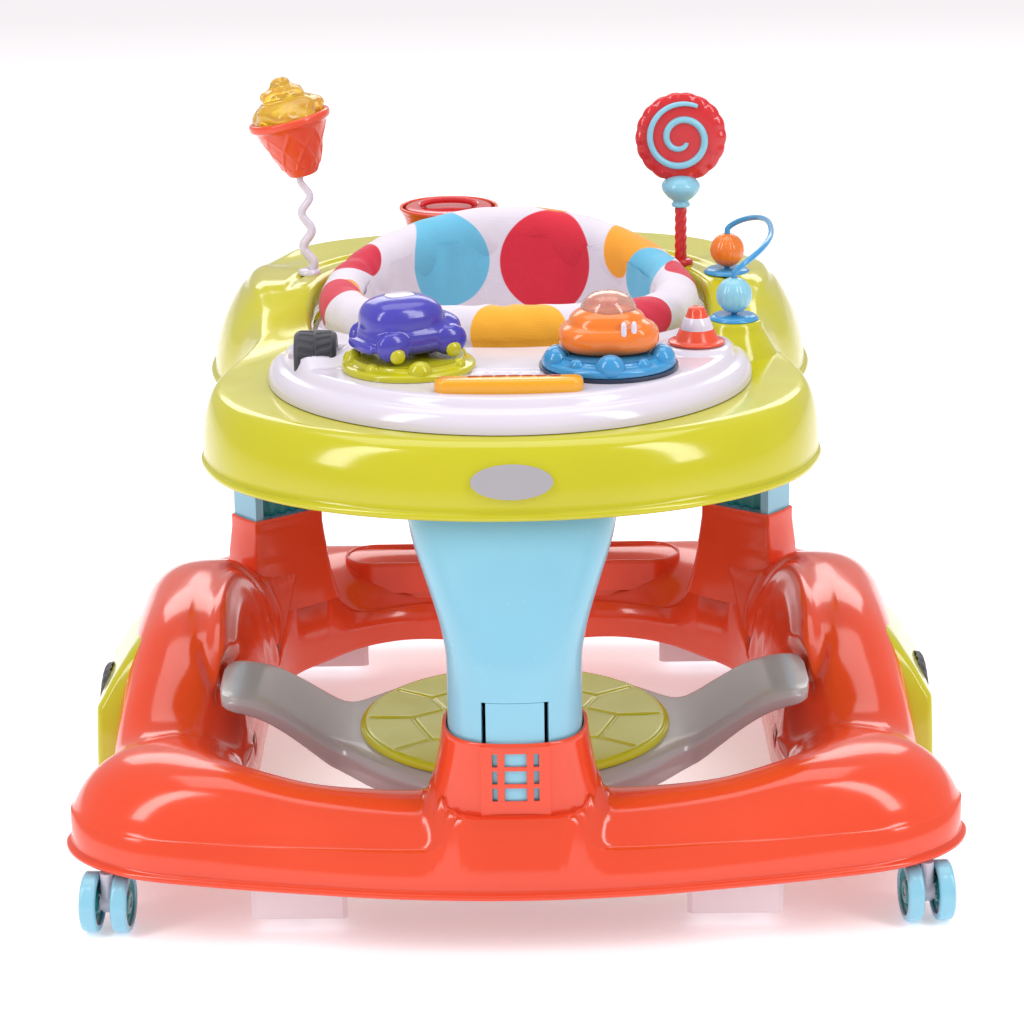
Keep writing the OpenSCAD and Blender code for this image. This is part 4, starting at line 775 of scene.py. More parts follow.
trayTop = gridPiece("trayShell", trayPoints(), closeRows=True, closed=False)
addModifier(trayTop, "SOLIDIFY", thickness=2.8 * mm, offset=-1.0)
finishPiece(trayTop, limePlastic, "upper", "tray_shell")
mound = lathe("beadMound", smoothRows(np.array([[40, 397.5], [37, 399.5], [33.5, 405], [29, 413], [25.2, 420],
              [23.6, 425], [22.6, 427], [21, 428], [10, 428.1], [0, 428.1]]), 6), (187, -44, 0), closed=False)
finishPiece(mound, limePlastic, "upper")
print("tray made")


board = {"r": 197.0, "frontY": -300.0, "midY": -108.0, "low": 400.3, "top": 426.0}
roller = {"x": -155.0, "y": -157.0, "z": 430.0, "r": 20.0, "w": 34.0}
carLeft, carRight, conePlace, keyY = (-80, -184), (78, -192), (151, -131), -262.0


# Outline of the panel at a distance in from its edge: elliptic front, rounded ears, the seat's arc behind
def boardOutline(cut):
    rx, ry = board["r"] - cut, board["midY"] - board["frontY"] - cut
    a = np.linspace(np.pi, 2 * np.pi, 150)
    front = np.stack([rx * np.cos(a), board["midY"] + ry * np.sin(a)], -1)
    b = np.radians(np.linspace(0, 72, 24))[1:]
    ear = np.stack([rx - 26 * (1 - np.cos(b)), board["midY"] + (44 - cut) * np.sin(b)], -1)
    c = np.radians(np.linspace(52, -52, 90))
    back = np.stack([(tray["holeW"] / 2 + 8 + cut) * np.sin(c),
                     tray["seatY"] - (tray["holeL"] / 2 + 8 + cut) * np.cos(c)], -1)
    return np.vstack([front, ear, back, ear[::-1] * [-1, 1]])


def boardTop():
    cuts = [0, 0, 0.4, 1.4, 3, 5, 7.5, 10, 11.5, 12.6, 13.8, 15.2, 17, 19, 22]
    levels = [400.6, 405, 407, 409.5, 412.2, 414.6, 416.4, 417.3, 417.9, 418.8, 420.6, 422.9, 424.8, 425.7, 426]
    rings = [np.concatenate([boardOutline(cut), np.full((len(boardOutline(cut)), 1), level)], 1)
             for cut, level in zip(cuts, levels)]
    last = rings[-1]
    share = np.clip(last[:, 0] / 165, -1, 1)
    spine = np.stack([share * 148, -196 + 62 * np.abs(share) ** 2.2, last[:, 2]], -1)
    for t in np.linspace(0, 1, 60)[1:]:
        rings.append(mix(last, spine, t))
    points = np.stack(rings)
    x, y, z = points[..., 0], points[..., 1], points[..., 2]
    flat = ramp(z, 420, 425.9)
    # Raised mounds at the tyre and the cone, a knob beside the tyre, and rows of ribs between the cars with a
    # raised frame round them
    tyreHill = 8.5 * ramp(36 - np.hypot((x - roller["x"]) * 0.85, y - roller["y"] - 3), 0, 16)
    coneHill = 3.0 * ramp(36 - np.hypot(x - conePlace[0], y - conePlace[1]), 0, 10)
    strip = ramp(34 - np.abs(x + 2), 0, 2) * ramp(y, -236, -232) * (1 - ramp(y, -206, -202))
    ribs = 1.1 * strip * np.clip(3 * np.cos((x + 2) / 5.4 * 2 * np.pi) - 0.5, -0.4, 1)
    away = np.hypot(np.maximum(np.abs(x + 2) - 30, 0), np.maximum(np.abs(y + 219) - 12, 0))
    ribFrame = 1.6 * np.exp(-((away - 8) / 2.2) ** 2)
    knob = 9 * np.exp(-((x + 122) / 9) ** 2 - ((y + 158) / 13) ** 2)
    points[..., 2] = z + flat * (tyreHill + coneHill + ribs + knob + ribFrame * (y < -196))
    return gridPiece("boardTop", points, closeCols=True, closed=False)


finishPiece(boardTop(), whitePlastic, "upper", "activity_panel")
print("panel made")


# Organic toy bodies: superellipsoids joined by voxel remesh and smoothed, like one moulding
def blobPiece(name, blobs, voxel=1.1, rounds=8):
    theta = np.linspace(0, np.pi, 25)[:, None]
    phi = np.linspace(0, 2 * np.pi, 48, endpoint=False)[None, :]
    points, faces, start = [], [], 0
    for place, size, p, turn in blobs:
        st, ct = power(np.sin(theta), p), np.sign(np.cos(theta)) * power(np.abs(np.cos(theta)), p)
        cp = np.sign(np.cos(phi)) * power(np.abs(np.cos(phi)), p)
        sp = np.sign(np.sin(phi)) * power(np.abs(np.sin(phi)), p)
        shape = np.stack([size[0] * st * cp, size[1] * st * sp, size[2] * ct + 0 * cp], -1).reshape(-1, 3)
        shape = shape @ turned("Z", turn).T + np.asarray(place, float)
        i, j = np.meshgrid(np.arange(24), np.arange(48), indexing="ij")
        quad = np.stack([i * 48 + j, (i + 1) * 48 + j, (i + 1) * 48 + (j + 1) % 48, i * 48 + (j + 1) % 48], -1)
        points.append(shape)
        faces.append(quad.reshape(-1, 4) + start)
        start += len(shape)
    rough = meshPiece(name + "Rough", np.concatenate(points), np.concatenate(faces), merge=0.001)
    addModifier(rough, "REMESH", mode="VOXEL", voxel_size=voxel * mm, use_smooth_shade=True)
    addModifier(rough, "SMOOTH", factor=0.5, iterations=rounds)
    bpy.context.view_layer.update()
    seen = rough.evaluated_get(bpy.context.evaluated_depsgraph_get())
    mesh = bpy.data.meshes.new_from_object(seen)
    bpy.data.objects.remove(rough)
    mesh.materials.clear()
    mesh.polygons.foreach_set("use_smooth", np.ones(len(mesh.polygons), dtype=bool))
    piece = bpy.data.objects.new(name, mesh)
    bpy.context.scene.collection.objects.link(piece)
    return piece


# Left car: bonnet, cabin, mudguards; it presses down on its lime base
carZ = 439.7
c, s = math.cos(math.radians(28)), math.sin(math.radians(28))


def onCar(u, v, z):
    return (carLeft[0] + u * c - v * s, carLeft[1] + u * s + v * c, z)


parts = [(onCar(0, 0, carZ + 14), (40, 30, 14.5), 3.0, 28), (onCar(-6, 0, carZ + 25), (33, 28, 21), 2.7, 28),
         (onCar(24, 0, carZ + 17), (18, 24, 12), 2.5, 28)]
for u in (-25, 24):
    for v in (-25, 25):
        parts.append((onCar(u, v, carZ + 11), (14.5, 7.5, 12), 2.2, 28))
parts.append((onCar(38, 0, carZ + 10), (7, 22, 5), 2.4, 28))
parts.append((onCar(-40, 0, carZ + 9), (6, 22, 5), 2.4, 28))
finishPiece(blobPiece("purpleCar", parts, 1.0), purplePlastic, "purple_car", "purple_car")
# Wheels set into the mudguards, a dark rear window slot and a blank pale roof plate
wheels = []
for u in (-25, 24):
    for v in (-31.5, 31.5):
        wheels.append((onCar(u, v, carZ + 4.5), (6.5, 3.2, 6), 2.2, 28))
finishPiece(blobPiece("purpleCarWheels", wheels, 0.8, 4), limePlastic, "purple_car")
finishPiece(blobPiece("purpleCarWindow", [(onCar(-36.6, 0, carZ + 26), (2.2, 10, 2.6), 3.2, 28)], 0.5, 4),
            darkPlastic, "purple_car")
finishPiece(blobPiece("purpleCarPlate", [(onCar(-7, 0, carZ + 45.6), (12, 8.5, 1.3), 2.6, 28)], 0.4, 4),
            whitePlastic, "purple_car")


# Ring under a car: a stepped disc with rounded bumps round its edge
def bumpRing(name, place, z, material, body, node, count=10):
    profile = smoothRows(np.array([[53, 0], [53, 3], [52, 4.6], [50, 5.4], [46, 6.5], [43, 9.5], [40, 10],
                                   [0, 10]]), 6)
    ring = lathe(name, profile + [0, z], (place[0], place[1], 0), 120, closed=False)
    finishPiece(ring, material, body, node)
    bumps = []
    for k in range(count):
        angle = 2 * math.pi * (k + 0.5) / count
        size = (10 if count < 8 else 12) if k % 2 else 6.5
        bumps.append(((place[0] + 44 * math.cos(angle), place[1] + 44 * math.sin(angle), z + 5.5),
                      (size, size * 0.85, size * 0.95), 2.0, math.degrees(angle) + 90))
    finishPiece(blobPiece(name + "Bumps", bumps, 0.9, 4), material, body)


bumpRing("limeRing", carLeft, 426.3, limePlastic, "upper", "purple_base", 7)
bumpRing("blueRing", carRight, 429.7, toyBlue, "orange_car", "orange_base")
orangeZ = 439.7
x, y = carRight
parts = [((x, y, orangeZ + 12), (40, 32, 14), 2.7, 0), ((x - 1, y + 1, orangeZ + 21), (31, 27, 15), 2.4, 0),
         ((x + 17, y - 8, orangeZ + 16), (20, 22, 12), 2.2, 0)]
finishPiece(blobPiece("orangeCar", parts, 1.0), carOrange, "orange_car", "orange_car")
finishPiece(blobPiece("orangeCarStripes", [((x + 11, y - 27.5, orangeZ + 21), (2.4, 3.0, 8), 3, 0),
            ((x + 19, y - 26, orangeZ + 21), (2.4, 3.0, 8), 3, 0)], 0.6, 3), whitePlastic, "orange_car")
dome = lathe("clearDome", smoothRows(np.array([[22.5, 0], [22.5, 2], [21.6, 5], [19.5, 9], [15.5, 13.2],
                                               [10, 15.8],
             [4, 17], [0, 17.2]]), 6) + [0, orangeZ + 30], (x, y + 4, 0), closed=False)
finishPiece(dome, clearCover, "orange_car", "clear_dome")
addModifier(dome, "SOLIDIFY", thickness=1.5 * mm, offset=-1.0)
finishPiece(blobPiece("domeBall", [((x, y + 4, orangeZ + 36), (9, 9, 6), 2, 0)], 0.8, 3), coneOrange,
            "orange_car")


# Key bar: a rounded bar with a row of raised dashes
def keyBar():
    u = np.linspace(-59, 57, 150)[:, None]
    a = np.linspace(0, 2 * np.pi, 60, endpoint=False)[None, :]
    end = np.interp(u, [-59, -58, -56, -52, 50, 54, 56, 57], [0, 0.55, 0.85, 1, 1, 0.85, 0.55, 0])
    y = keyY - 1 + 10 * end * np.sign(np.cos(a)) * power(np.abs(np.cos(a)), 4)
    z = 430.0 + 7.0 * np.where(end > 0, 0.35 + 0.65 * end, 0) * np.sign(np.sin(a)) * power(np.abs(np.sin(a)), 4)
    sag = -0.00028 * u ** 2
    return gridPiece("keyBar", np.stack([u + 0 * a, y - sag * 6, z + sag], -1), closeCols=True)


finishPiece(keyBar(), toyYellow, "music_keys", "music_keys")
dashes = [((k, keyY + 2.5, 436.6 - 0.00028 * k * k), (5.2, 1.6, 1.3), 3.4, 0) for k in np.linspace(-28, 34, 7)]
finishPiece(blobPiece("keyDashes", dashes, 0.45, 2), dotRed, "music_keys")


# Roller tyre: radius falls between tread blocks, two rows set half a block apart
def rollerTyre():
    t = np.linspace(-1, 1, 61)[:, None]
    a = np.linspace(0, 2 * np.pi, 200, endpoint=False)[None, :]
    r = 20 - 3.6 * np.abs(t) ** 8
    first = (np.abs(np.abs(t) - 0.42) < 0.34) * np.sign(np.sin(a * 17 + np.pi * (t > 0) + 4 * np.abs(t)))
    r = r - 0.9 * (first < 0) - 0.8 * (np.abs(t) < 0.04)
    x = roller["x"] + t * roller["w"] / 2
    points = np.stack([x + 0 * a, roller["y"] + r * np.cos(a), roller["z"] + r * np.sin(a)], -1)
    inner = points[[-1, -1, 0, 0]].copy()
    middle = np.array([roller["y"], roller["z"]])
    for k, scale in enumerate((0.62, 0.35, 0.35, 0.62)):
        inner[k, :, 1:] = middle + (inner[k, :, 1:] - middle) * scale
    inner[1:3, :, 0] += np.array([[-2], [2]])
    return gridPiece("rollerTyre", np.concatenate([points, inner]), closeRows=True, closeCols=True)


finishPiece(rollerTyre(), tyreRubber, "tyre_roller", "tyre_roller")

coneProfile = np.array([[0, 28.5], [4, 28.5], [6.4, 27.4], [7.2, 25.5], [9.2, 20], [9.8, 19.6],
                        [13.2, 10.6], [13.9, 10.2],
                        [17.4, 2.6], [19, 1.2], [21.5, 0.9], [22.8, 0.4], [23, -0.8], [22, -1.6]])
cone = lathe("trafficCone", coneProfile + [0, 431], (*conePlace, 0), closed=False)
finishPiece(cone, coneOrange, "cone_button", "cone_button")
finishPiece(lathe("coneBand", np.array([[9.4, 20.2], [10.1, 19.7], [13.5, 10.8], [13.3, 10.2]]) + [0, 431],
            (*conePlace, 0), closed=False), whitePlastic, "cone_button")
print("cars made")

# Bead wire: upright legs, then a flat arch leaning outwards
a0, a1 = np.array([187.0, -44.0]), np.array([193.0, 132.0])
span = np.linalg.norm(a1 - a0)
along = (a1 - a0) / span
outward = np.array([along[1], -along[0]])
a = np.linspace(0, np.pi, 60)
rise = power(np.sin(a), 2.4)
u = span / 2 * (1 - np.sign(np.cos(a)) * power(np.abs(np.cos(a)), 2.4))
v = 34 * rise ** 1.4
z = mix(36, 56, rise)
leg = np.linspace(0, 35, 8)[:, None] * [0, 0, 1]
arch = np.stack([u, v, z], -1)
line = np.vstack([leg, arch, leg[::-1] + [span, 0, 0]])
world = np.concatenate([a0[None] + line[:, :1] * along + line[:, 1:2] * outward, 430.6 + line[:, 2:]], 1)
wire = sweep("beadWire", world, 2.5, 20, up=(outward[0], outward[1], 0.02))
finishPiece(wire, toyBlue, "upper", "bead_loop")
flange = np.array([[0, 3.6], [14, 3.6], [17.5, 3.3], [18.6, 2.4], [20.2, 1.0], [20.5, 0.2], [20.4, -0.2],
                   [0, -0.2]])
for k, place in enumerate((a0, a1)):
    finishPiece(lathe(f"beadFoot{k}", flange + [0, 428.5], (*place, 0)), toyBlue, "upper")


# Beads: a ball with shallow meridian flutes and a hole
def bead(name, place, body, node, material):
    t = np.linspace(0.18, np.pi - 0.18, 40)
    profile = np.stack([15 * np.sin(t), 448.3 + 15 * np.cos(t)], -1)
    profile = np.vstack([profile, [[2.6, 434.3], [2.6, 462.3]], profile[:1]])
    flute = lambda r, z, a: (r - 0.35 * (np.abs(np.sin(a * 8)) ** 6) * (r > 6), z)
    finishPiece(lathe(name, profile, (*place, 0), 128, warp=flute, closed=True), material, body, node)


bead("beadFront", a0, "bead_front", "bead_blue", skyPlastic)
bead("beadRear", a1, "bead_rear", "bead_orange", carOrange)

# Ice cream: wavy stalk, a cone with a lattice of ribs, and a piped scoop
ice = {"x": -177.0, "y": 150.0, "head": 514.0, "tilt": -13.0}
t = np.linspace(0, 1, 90)
line = np.stack([ice["x"] + 4.0 * np.sin(np.radians(990 * t + 30)) - 2 * t, np.full_like(t, ice["y"]),
                 mix(432, ice["head"] + 1.5, t)], -1)
stalk = sweep("iceStalk", line, mix(4.6, 3.0, t), 20)
finishPiece(stalk, whitePlastic, "upper", "icecream_stalk")
finishPiece(lathe("iceFoot", np.array([[0, 4.6], [7, 4.6], [9.4, 3.6], [10, 1.6], [10, 0]]) + [0, 428],
            (ice["x"], ice["y"], 0), closed=False), whitePlastic, "upper")
lean = turned("Y", ice["tilt"])
iceSeat = (ice["x"] - 2, ice["y"], ice["head"] + 3)


def lattice(r, z, a):
    wave = np.maximum(np.abs(np.sin(a * 4 + z * 0.115)), np.abs(np.sin(a * 4 - z * 0.115)))
    return r + 0.8 * ramp(wave, 0.93, 1.0) * (z > 8) * (z < 44) * (r > 14), z


coneLine = np.vstack([smoothRows(np.array([[0, 0], [9, 0], [12.5, 1.2], [14.5, 4], [17.5, 10], [24, 26],
                                           [31, 44]]), 12),
                      smoothRows(np.array([[32.5, 46], [35.4, 47.2], [36.2, 50], [35.8, 53], [33.5, 54],
                                           [31, 53], [29, 48],
                                           [20, 30], [0, 28]]), 5)])
finishPiece(lathe("iceCone", coneLine, iceSeat, 220, warp=lattice, tilt=lean), coneOrange, "icecream",
            "icecream_cone")
scoop = smoothRows(np.array([[0, 40], [26, 44], [30, 50], [31.2, 56], [29, 63], [23, 68], [19.5, 70],
                             [19.3, 73],
                             [17, 77.5], [11, 80.5], [9, 82], [7.5, 85.5], [4, 88.2], [0, 89]]), 8)


# Piped folds: the radius above z 50 carries two turning waves
def swirl(r, z, a):
    wave = 0.07 * np.sin(a * 3 + z * 0.22) + 0.04 * np.sin(a * 7 - z * 0.1)
    return r * (1 + wave * (z > 50)), z


finishPiece(lathe("iceScoop", scoop, iceSeat, 160, warp=swirl, tilt=lean), amberScoop, "icecream",
            "icecream_swirl")

# Lollipop: twisted square stalk, collar, scalloped disc, and a spiral cord raised on both faces
lolly = {"x": 154.0, "y": 170.0, "z": 542.0, "low": 432.0, "neck": 482.0}
t = np.linspace(0, 1, 140)
line = np.stack([np.full_like(t, lolly["x"]), np.full_like(t, lolly["y"]),
                 mix(lolly["low"], lolly["neck"] + 2, t)], -1)
square = lambda a: 1 / (np.abs(np.cos(a)) ** 3 + np.abs(np.sin(a)) ** 3) ** (1 / 3)
stem = sweep("lollyStem", line, 4.9, 24, section=square, twist=t * 2 * np.pi * 1.6)
finishPiece(stem, toyRed, "upper", "lollipop_stalk")
finishPiece(lathe("lollyFoot", np.array([[0, 5], [8, 5], [10.4, 4], [11, 2], [11, 0]]) + [0, 428],
            (lolly["x"], lolly["y"], 0), closed=False), toyRed, "upper")
collar = smoothRows(np.array([[0, 480], [7, 480], [8.4, 482], [7.2, 485], [12, 489], [16.5, 495],
                              [17, 500], [13, 505],
                              [8, 508], [0, 509]]), 6)
finishPiece(lathe("lollyCollar", collar, (lolly["x"], lolly["y"], 0), 80), skyPlastic, "lollipop")


def lollyDisc():
    rho = np.concatenate([np.linspace(0, 0.82, 24), [0.87, 0.91, 0.95, 0.98, 1.0]])
    rho = np.concatenate([rho, rho[::-1]])[None, :]
    side = np.concatenate([np.ones(29), -np.ones(29)])[None, :]
    a = np.linspace(0, 2 * np.pi, 240, endpoint=False)[:, None]
    scallop = 1 + 0.025 * np.abs(np.cos(a * 9)) * rho ** 6
    r = 39.5 * rho * scallop
    thick = 6.6 * np.sqrt(np.clip(1 - rho ** 5, 0, 1)) + 0.5 * np.cos(a * 18) * (rho > 0.86) * (rho < 0.97)
    return gridPiece("lollyDisc", np.stack([lolly["x"] + r * np.cos(a), lolly["y"] + side * thick,
                                            lolly["z"] + r * np.sin(a)], -1), closeRows=True)


finishPiece(lollyDisc(), toyRed, "lollipop", "lollipop_disc")
t = np.linspace(0, 1, 170)
for side in (-1, 1):
    turn = 0.65 + t * 2 * np.pi * 1.72
    r = mix(6, 32, t ** 0.9)
    line = np.stack([lolly["x"] + side * -1 * r * np.cos(turn), np.full_like(t, lolly["y"] + side * 6.9),
                     lolly["z"] - r * np.sin(turn)], -1)
    thick = 3.1 * np.sin(np.pi * (0.04 + 0.92 * t)) ** 0.25
    word = "Front" if side < 0 else "Back"
    finishPiece(sweep("lollySpiral" + word, line, thick, 14), skyPlastic, "lollipop")

# Rear dish with a lid and its arched grip
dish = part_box("rear_dish")
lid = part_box("dish_lid")
dx, dy = (dish[0][0] + dish[1][0]) / 2 / mm, (dish[0][1] + dish[1][1]) / 2 / mm
dishR, dishLow, dishTop = (dish[1][0] - dish[0][0]) / 2 / mm, dish[0][2] / mm, dish[1][2] / mm
bowl = smoothRows(np.array([[dishR - 14, dishLow + 0.3], [dishR - 9, dishLow + 2],
                            [dishR - 5, dishTop - 12], [dishR - 2, dishTop - 5],
                            [dishR - 0.2, dishTop - 2.5], [dishR, dishTop - 1], [dishR - 1, dishTop],
                            [dishR - 3, dishTop - 1],
                            [dishR - 6, dishTop - 9], [0, dishTop - 14]]), 6)
finishPiece(lathe("dishBowl", bowl, (dx, dy, 0), 120, closed=False), coneOrange, "upper", "rear_dish")
lidLow, lidTop, lidR = lid[0][2] / mm, lid[1][2] / mm, (lid[1][0] - lid[0][0]) / 2 / mm
cover = smoothRows(np.array([[lidR - 4, lidLow + 0.5], [lidR - 0.5, lidLow + 1], [lidR, lidLow + 2.2],
                             [lidR - 2, lidLow + 3.6],
                             [lidR - 10, lidLow + 4.2], [lidR - 13, lidLow + 2.6],
                             [lidR - 18, lidLow + 2.4], [0, lidLow + 3.4]]), 6)
lidPiece = lathe("dishLid", cover, (dx, dy, 0), 120, closed=False)
finishPiece(lidPiece, toyRed, "dish_lid", "dish_lid")
t = np.linspace(0, np.pi, 40)
line = np.stack([dx - 24 * np.cos(t), np.full_like(t, dy),
                 lidLow + 3 + (lidTop - lidLow - 5) * np.sin(t) ** 0.7], -1)
finishPiece(sweep("lidGrip", line, 3.0, 18), toyRed, "dish_lid")
print("toys made")


seat = {"rx": 172.0, "ry": 176.0, "y": 80.0, "roll": 23.0, "slack": 3.2, "frontTop": 451.0,
        "backTop": 473.5, "inset": 27.0,
        "frontTall": 24.0, "backTall": 35.0,
        "cap": 7.0, "pressure": 4.0,
        "dots": [(-61, 212, 425, 44, "#69bbdc"), (38, 212, 423, 46, "#d6263c"), (121, 180, 437, 36, "#f2a12f"),
                 (-142, 140, 447, 31, "#cc2340"), (-124, 62, 446, 24, "#f2a12f"), (-152, 55, 428, 26, "#cc2340"),
                 (122, 128, 428, 28, "#69bbdc"), (160, 100, 442, 24, "#cc2340"), (8, -92, 428, 41, "#f2ad2f"),
                 (118, -40, 434, 34, "#cc2340"), (48, 252, 466, 34, "#f28a3a"), (-60, 262, 440, 34, "#d6263c"),
                 (-100, 0, 300, 44, "#69bbdc"), (70, 190, 330, 46, "#f2a12f"), (-60, 200, 320, 44, "#cc2340"),
                 (100, 20, 310, 42, "#cc2340"), (0, -30, 320, 44, "#69bbdc"), (0, 90, 232, 46, "#f2a12f")]}
seatCloth = printedCloth("polyester woven printed dots", seat["dots"])


# Half height of the roll: the back is a taller pad than the front
def rollTall(a):
    return mix(seat["frontTall"], seat["backTall"], ramp(-np.cos(a), -0.3, 0.9))


# Middle of the roll at an angle from the front: an oval whose height rises to the back and dips at the sides
def rollMiddle(a):
    lift = 0.5 - 0.5 * np.cos(a)
    return np.stack([(seat["rx"] - seat["inset"]) * np.sin(a),
                     seat["y"] - (seat["ry"] - seat["inset"]) * np.cos(a),
                     mix(seat["frontTop"], seat["backTop"], lift) - 20 * np.sin(a) ** 2 - rollTall(a)], -1)


# Padded roll: a superellipse section carried round that line, a little slim, with two seams that pull it in
def rollPad():
    a = np.linspace(0, 2 * np.pi, 216, endpoint=False)
    middle = rollMiddle(a)
    c = np.linspace(0, 2 * np.pi, 36, endpoint=False)[None, :]
    fromBack = np.degrees(a) - 180
    seams = np.exp(-(((fromBack + 68) / 2.2) ** 2)) + np.exp(-(((fromBack - 68) / 2.2) ** 2))
    pull = 1 - 0.05 * seams[:, None]
    out = (seat["roll"] - seat["slack"]) * pull * np.sign(np.cos(c)) * power(np.abs(np.cos(c)), 2.3)
    up = (rollTall(a)[:, None] - seat["slack"]) * pull * np.sign(np.sin(c)) * power(np.abs(np.sin(c)), 2.1)
    x = middle[:, :1] + out * np.sin(a)[:, None]
    y = middle[:, 1:2] - out * np.cos(a)[:, None]
    return gridPiece("seatRoll", np.stack([x, y, middle[:, 2:] + up], -1), closeRows=True, closeCols=True)


# Swells a closed pad: cloth with inside pressure and no gravity, each point's move held to a cap.
# With these settings the roll's cloth moves about 1 mm, so its section carries the shape
def puffUp(piece, frames=14, cap=7.0, pressure=4.0):
    start = np.empty(len(piece.data.vertices) * 3)
    piece.data.vertices.foreach_get("co", start)
    cloth = addModifier(piece, "CLOTH")
    cloth.settings.use_pressure = True
    cloth.settings.uniform_pressure_force = pressure
    cloth.settings.effector_weights.gravity = 0
    cloth.settings.quality = 4
    cloth.settings.tension_stiffness = 12
    cloth.settings.bending_stiffness = 0.4
    cloth.point_cache.frame_start, cloth.point_cache.frame_end = 1, frames
    for now in range(1, frames + 1):
        bpy.context.scene.frame_set(now)
    seen = piece.evaluated_get(bpy.context.evaluated_depsgraph_get())
    moved = np.empty(len(seen.data.vertices) * 3)
    seen.data.vertices.foreach_get("co", moved)
    piece.modifiers.remove(cloth)
    bpy.context.scene.frame_set(1)
    shift = (moved - start).reshape(-1, 3)
    far = np.linalg.norm(shift, axis=1, keepdims=True)
    shift *= np.minimum(1, cap * mm / np.maximum(far, 1e-9))
    piece.data.vertices.foreach_set("co", (start.reshape(-1, 3) + shift).ravel())
    piece.data.update()
    print("cloth moved up to", round(float(far.max()) / mm, 1), "mm")


# Gathers and seams after the swelling: short waves round the inner side, deeper at the elastic front edge,
# and a piped seam along the outside
def gatherRoll(piece):
    co = np.empty(len(piece.data.vertices) * 3)
    piece.data.vertices.foreach_get("co", co)
    co = co.reshape(-1, 3) / mm
    a = np.arctan2(co[:, 0], seat["y"] - co[:, 1])
    middle = rollMiddle(a)
    away = co - middle
    r = np.linalg.norm(away, axis=1)
    outward = away[:, 0] * np.sin(a) - away[:, 1] * np.cos(a)
    c = np.arctan2(away[:, 2], outward)
    front = ramp(np.cos(a), -0.2, 0.7)
    inner = np.exp(-((np.abs(c) - 2.5) / 0.55) ** 2)
    wave = np.sin(a * 37 + 1.1 * np.sin(a * 9)) + 0.6 * np.sin(a * 23 + 2 * np.sin(a * 5))
    shift = wave * inner * (0.25 + 0.75 * front) * 1.5
    shift -= 1.6 * np.exp(-((c + 0.35) / 0.07) ** 2)
    crease = np.sin(a * 23 + 3 * c + np.sin(a * 7)) * np.sin(a * 5 + c)
    shift += 0.5 * crease
    co += away / np.maximum(r, 1)[:, None] * shift[:, None]
    piece.data.vertices.foreach_set("co", (co * mm).ravel())
    piece.data.update()


roll = rollPad()
puffUp(roll, cap=seat["cap"], pressure=seat["pressure"])
addModifier(roll, "SUBSURF", levels=1, render_levels=1)
gatherRoll(roll)
finishPiece(roll, seatCloth, "upper", "seat_roll")


# Sling: superellipse rings that sink and close in to a floor, pushed out in soft folds; leg holes at the front
def slingSheet():
    rows = smoothRows(np.array([[425, 46], [400, 49], [370, 52], [340, 55], [310, 60], [285, 68],
                                [262, 82], [246, 104],
                                [236, 132], [233, 150], [232.5, 160], [232.3, 168]]), 5)
    a = np.linspace(0, 2 * np.pi, 220, endpoint=False)[None, :]
    z, inset = rows[:, :1], rows[:, 1:]
    lift = 0.5 - 0.5 * np.cos(a)
    z = np.where(z > 380, z + (mix(0, 22, lift) - 10 * np.sin(a) ** 2) * ramp(z, 380, 425), z)
    fold = (np.sin(a * 12 + 0.8 * np.sin(a * 5)) * 1.8 + np.sin(a * 29 + z * 0.03) * 0.6) * ramp(z, 240, 320)
    rx, ry = np.maximum(seat["rx"] - inset + fold, 4), np.maximum(seat["ry"] - inset + fold, 8)
    points = np.stack([rx * np.sin(a), seat["y"] - ry * np.cos(a), z + 0 * a], -1)
    middle = points[:-1, :, :] * 0.5 + points[1:, :, :] * 0.5
    hole = np.zeros(middle.shape[:2], bool)
    for side in (-1, 1):
        dx, dy, dz = middle[..., 0] - side * 66, middle[..., 1] - 10, middle[..., 2] - 252
        along = -dy * math.sin(math.radians(62)) + dz * math.cos(math.radians(62))
        across = np.sqrt(np.maximum(dx ** 2 + dy ** 2 + dz ** 2 - along ** 2, 0))
        hole |= (across < 50) & (np.abs(along) < 82)
    return gridPiece("seatSling", points, closeCols=True, closed=False, keep=lambda i, j: ~hole[i, j])


sling = finishPiece(slingSheet(), seatCloth, "upper", "seat_fabric")
slingArea = sum(face.area for face in sling.data.polygons)
print("sling area", round(slingArea, 4))
print("seat made")


wheel = {"r": 24.0, "half": 6.5, "round": 2.4, "well": 3.2}


# Middle and turning axis of a CAD wheel: its points spread least along the axle
def wheelFrame(node):
    co = np.empty(len(nodes[node].data.vertices) * 3)
    nodes[node].data.vertices.foreach_get("co", co)
    co = co.reshape(-1, 3) / mm
    low, high = (np.array(corner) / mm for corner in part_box(node))
    middle = (low + high) / 2
    spread = np.linalg.svd(co - co.mean(0), full_matrices=False)[2]
    axis = spread[2] / np.linalg.norm(spread[2])
    axis = axis * np.sign(axis[0] * middle[0])
    side = np.cross([0, 0, 1.0], axis)
    side /= np.linalg.norm(side)
    return middle, np.stack([side, np.cross(axis, side), axis], -1)
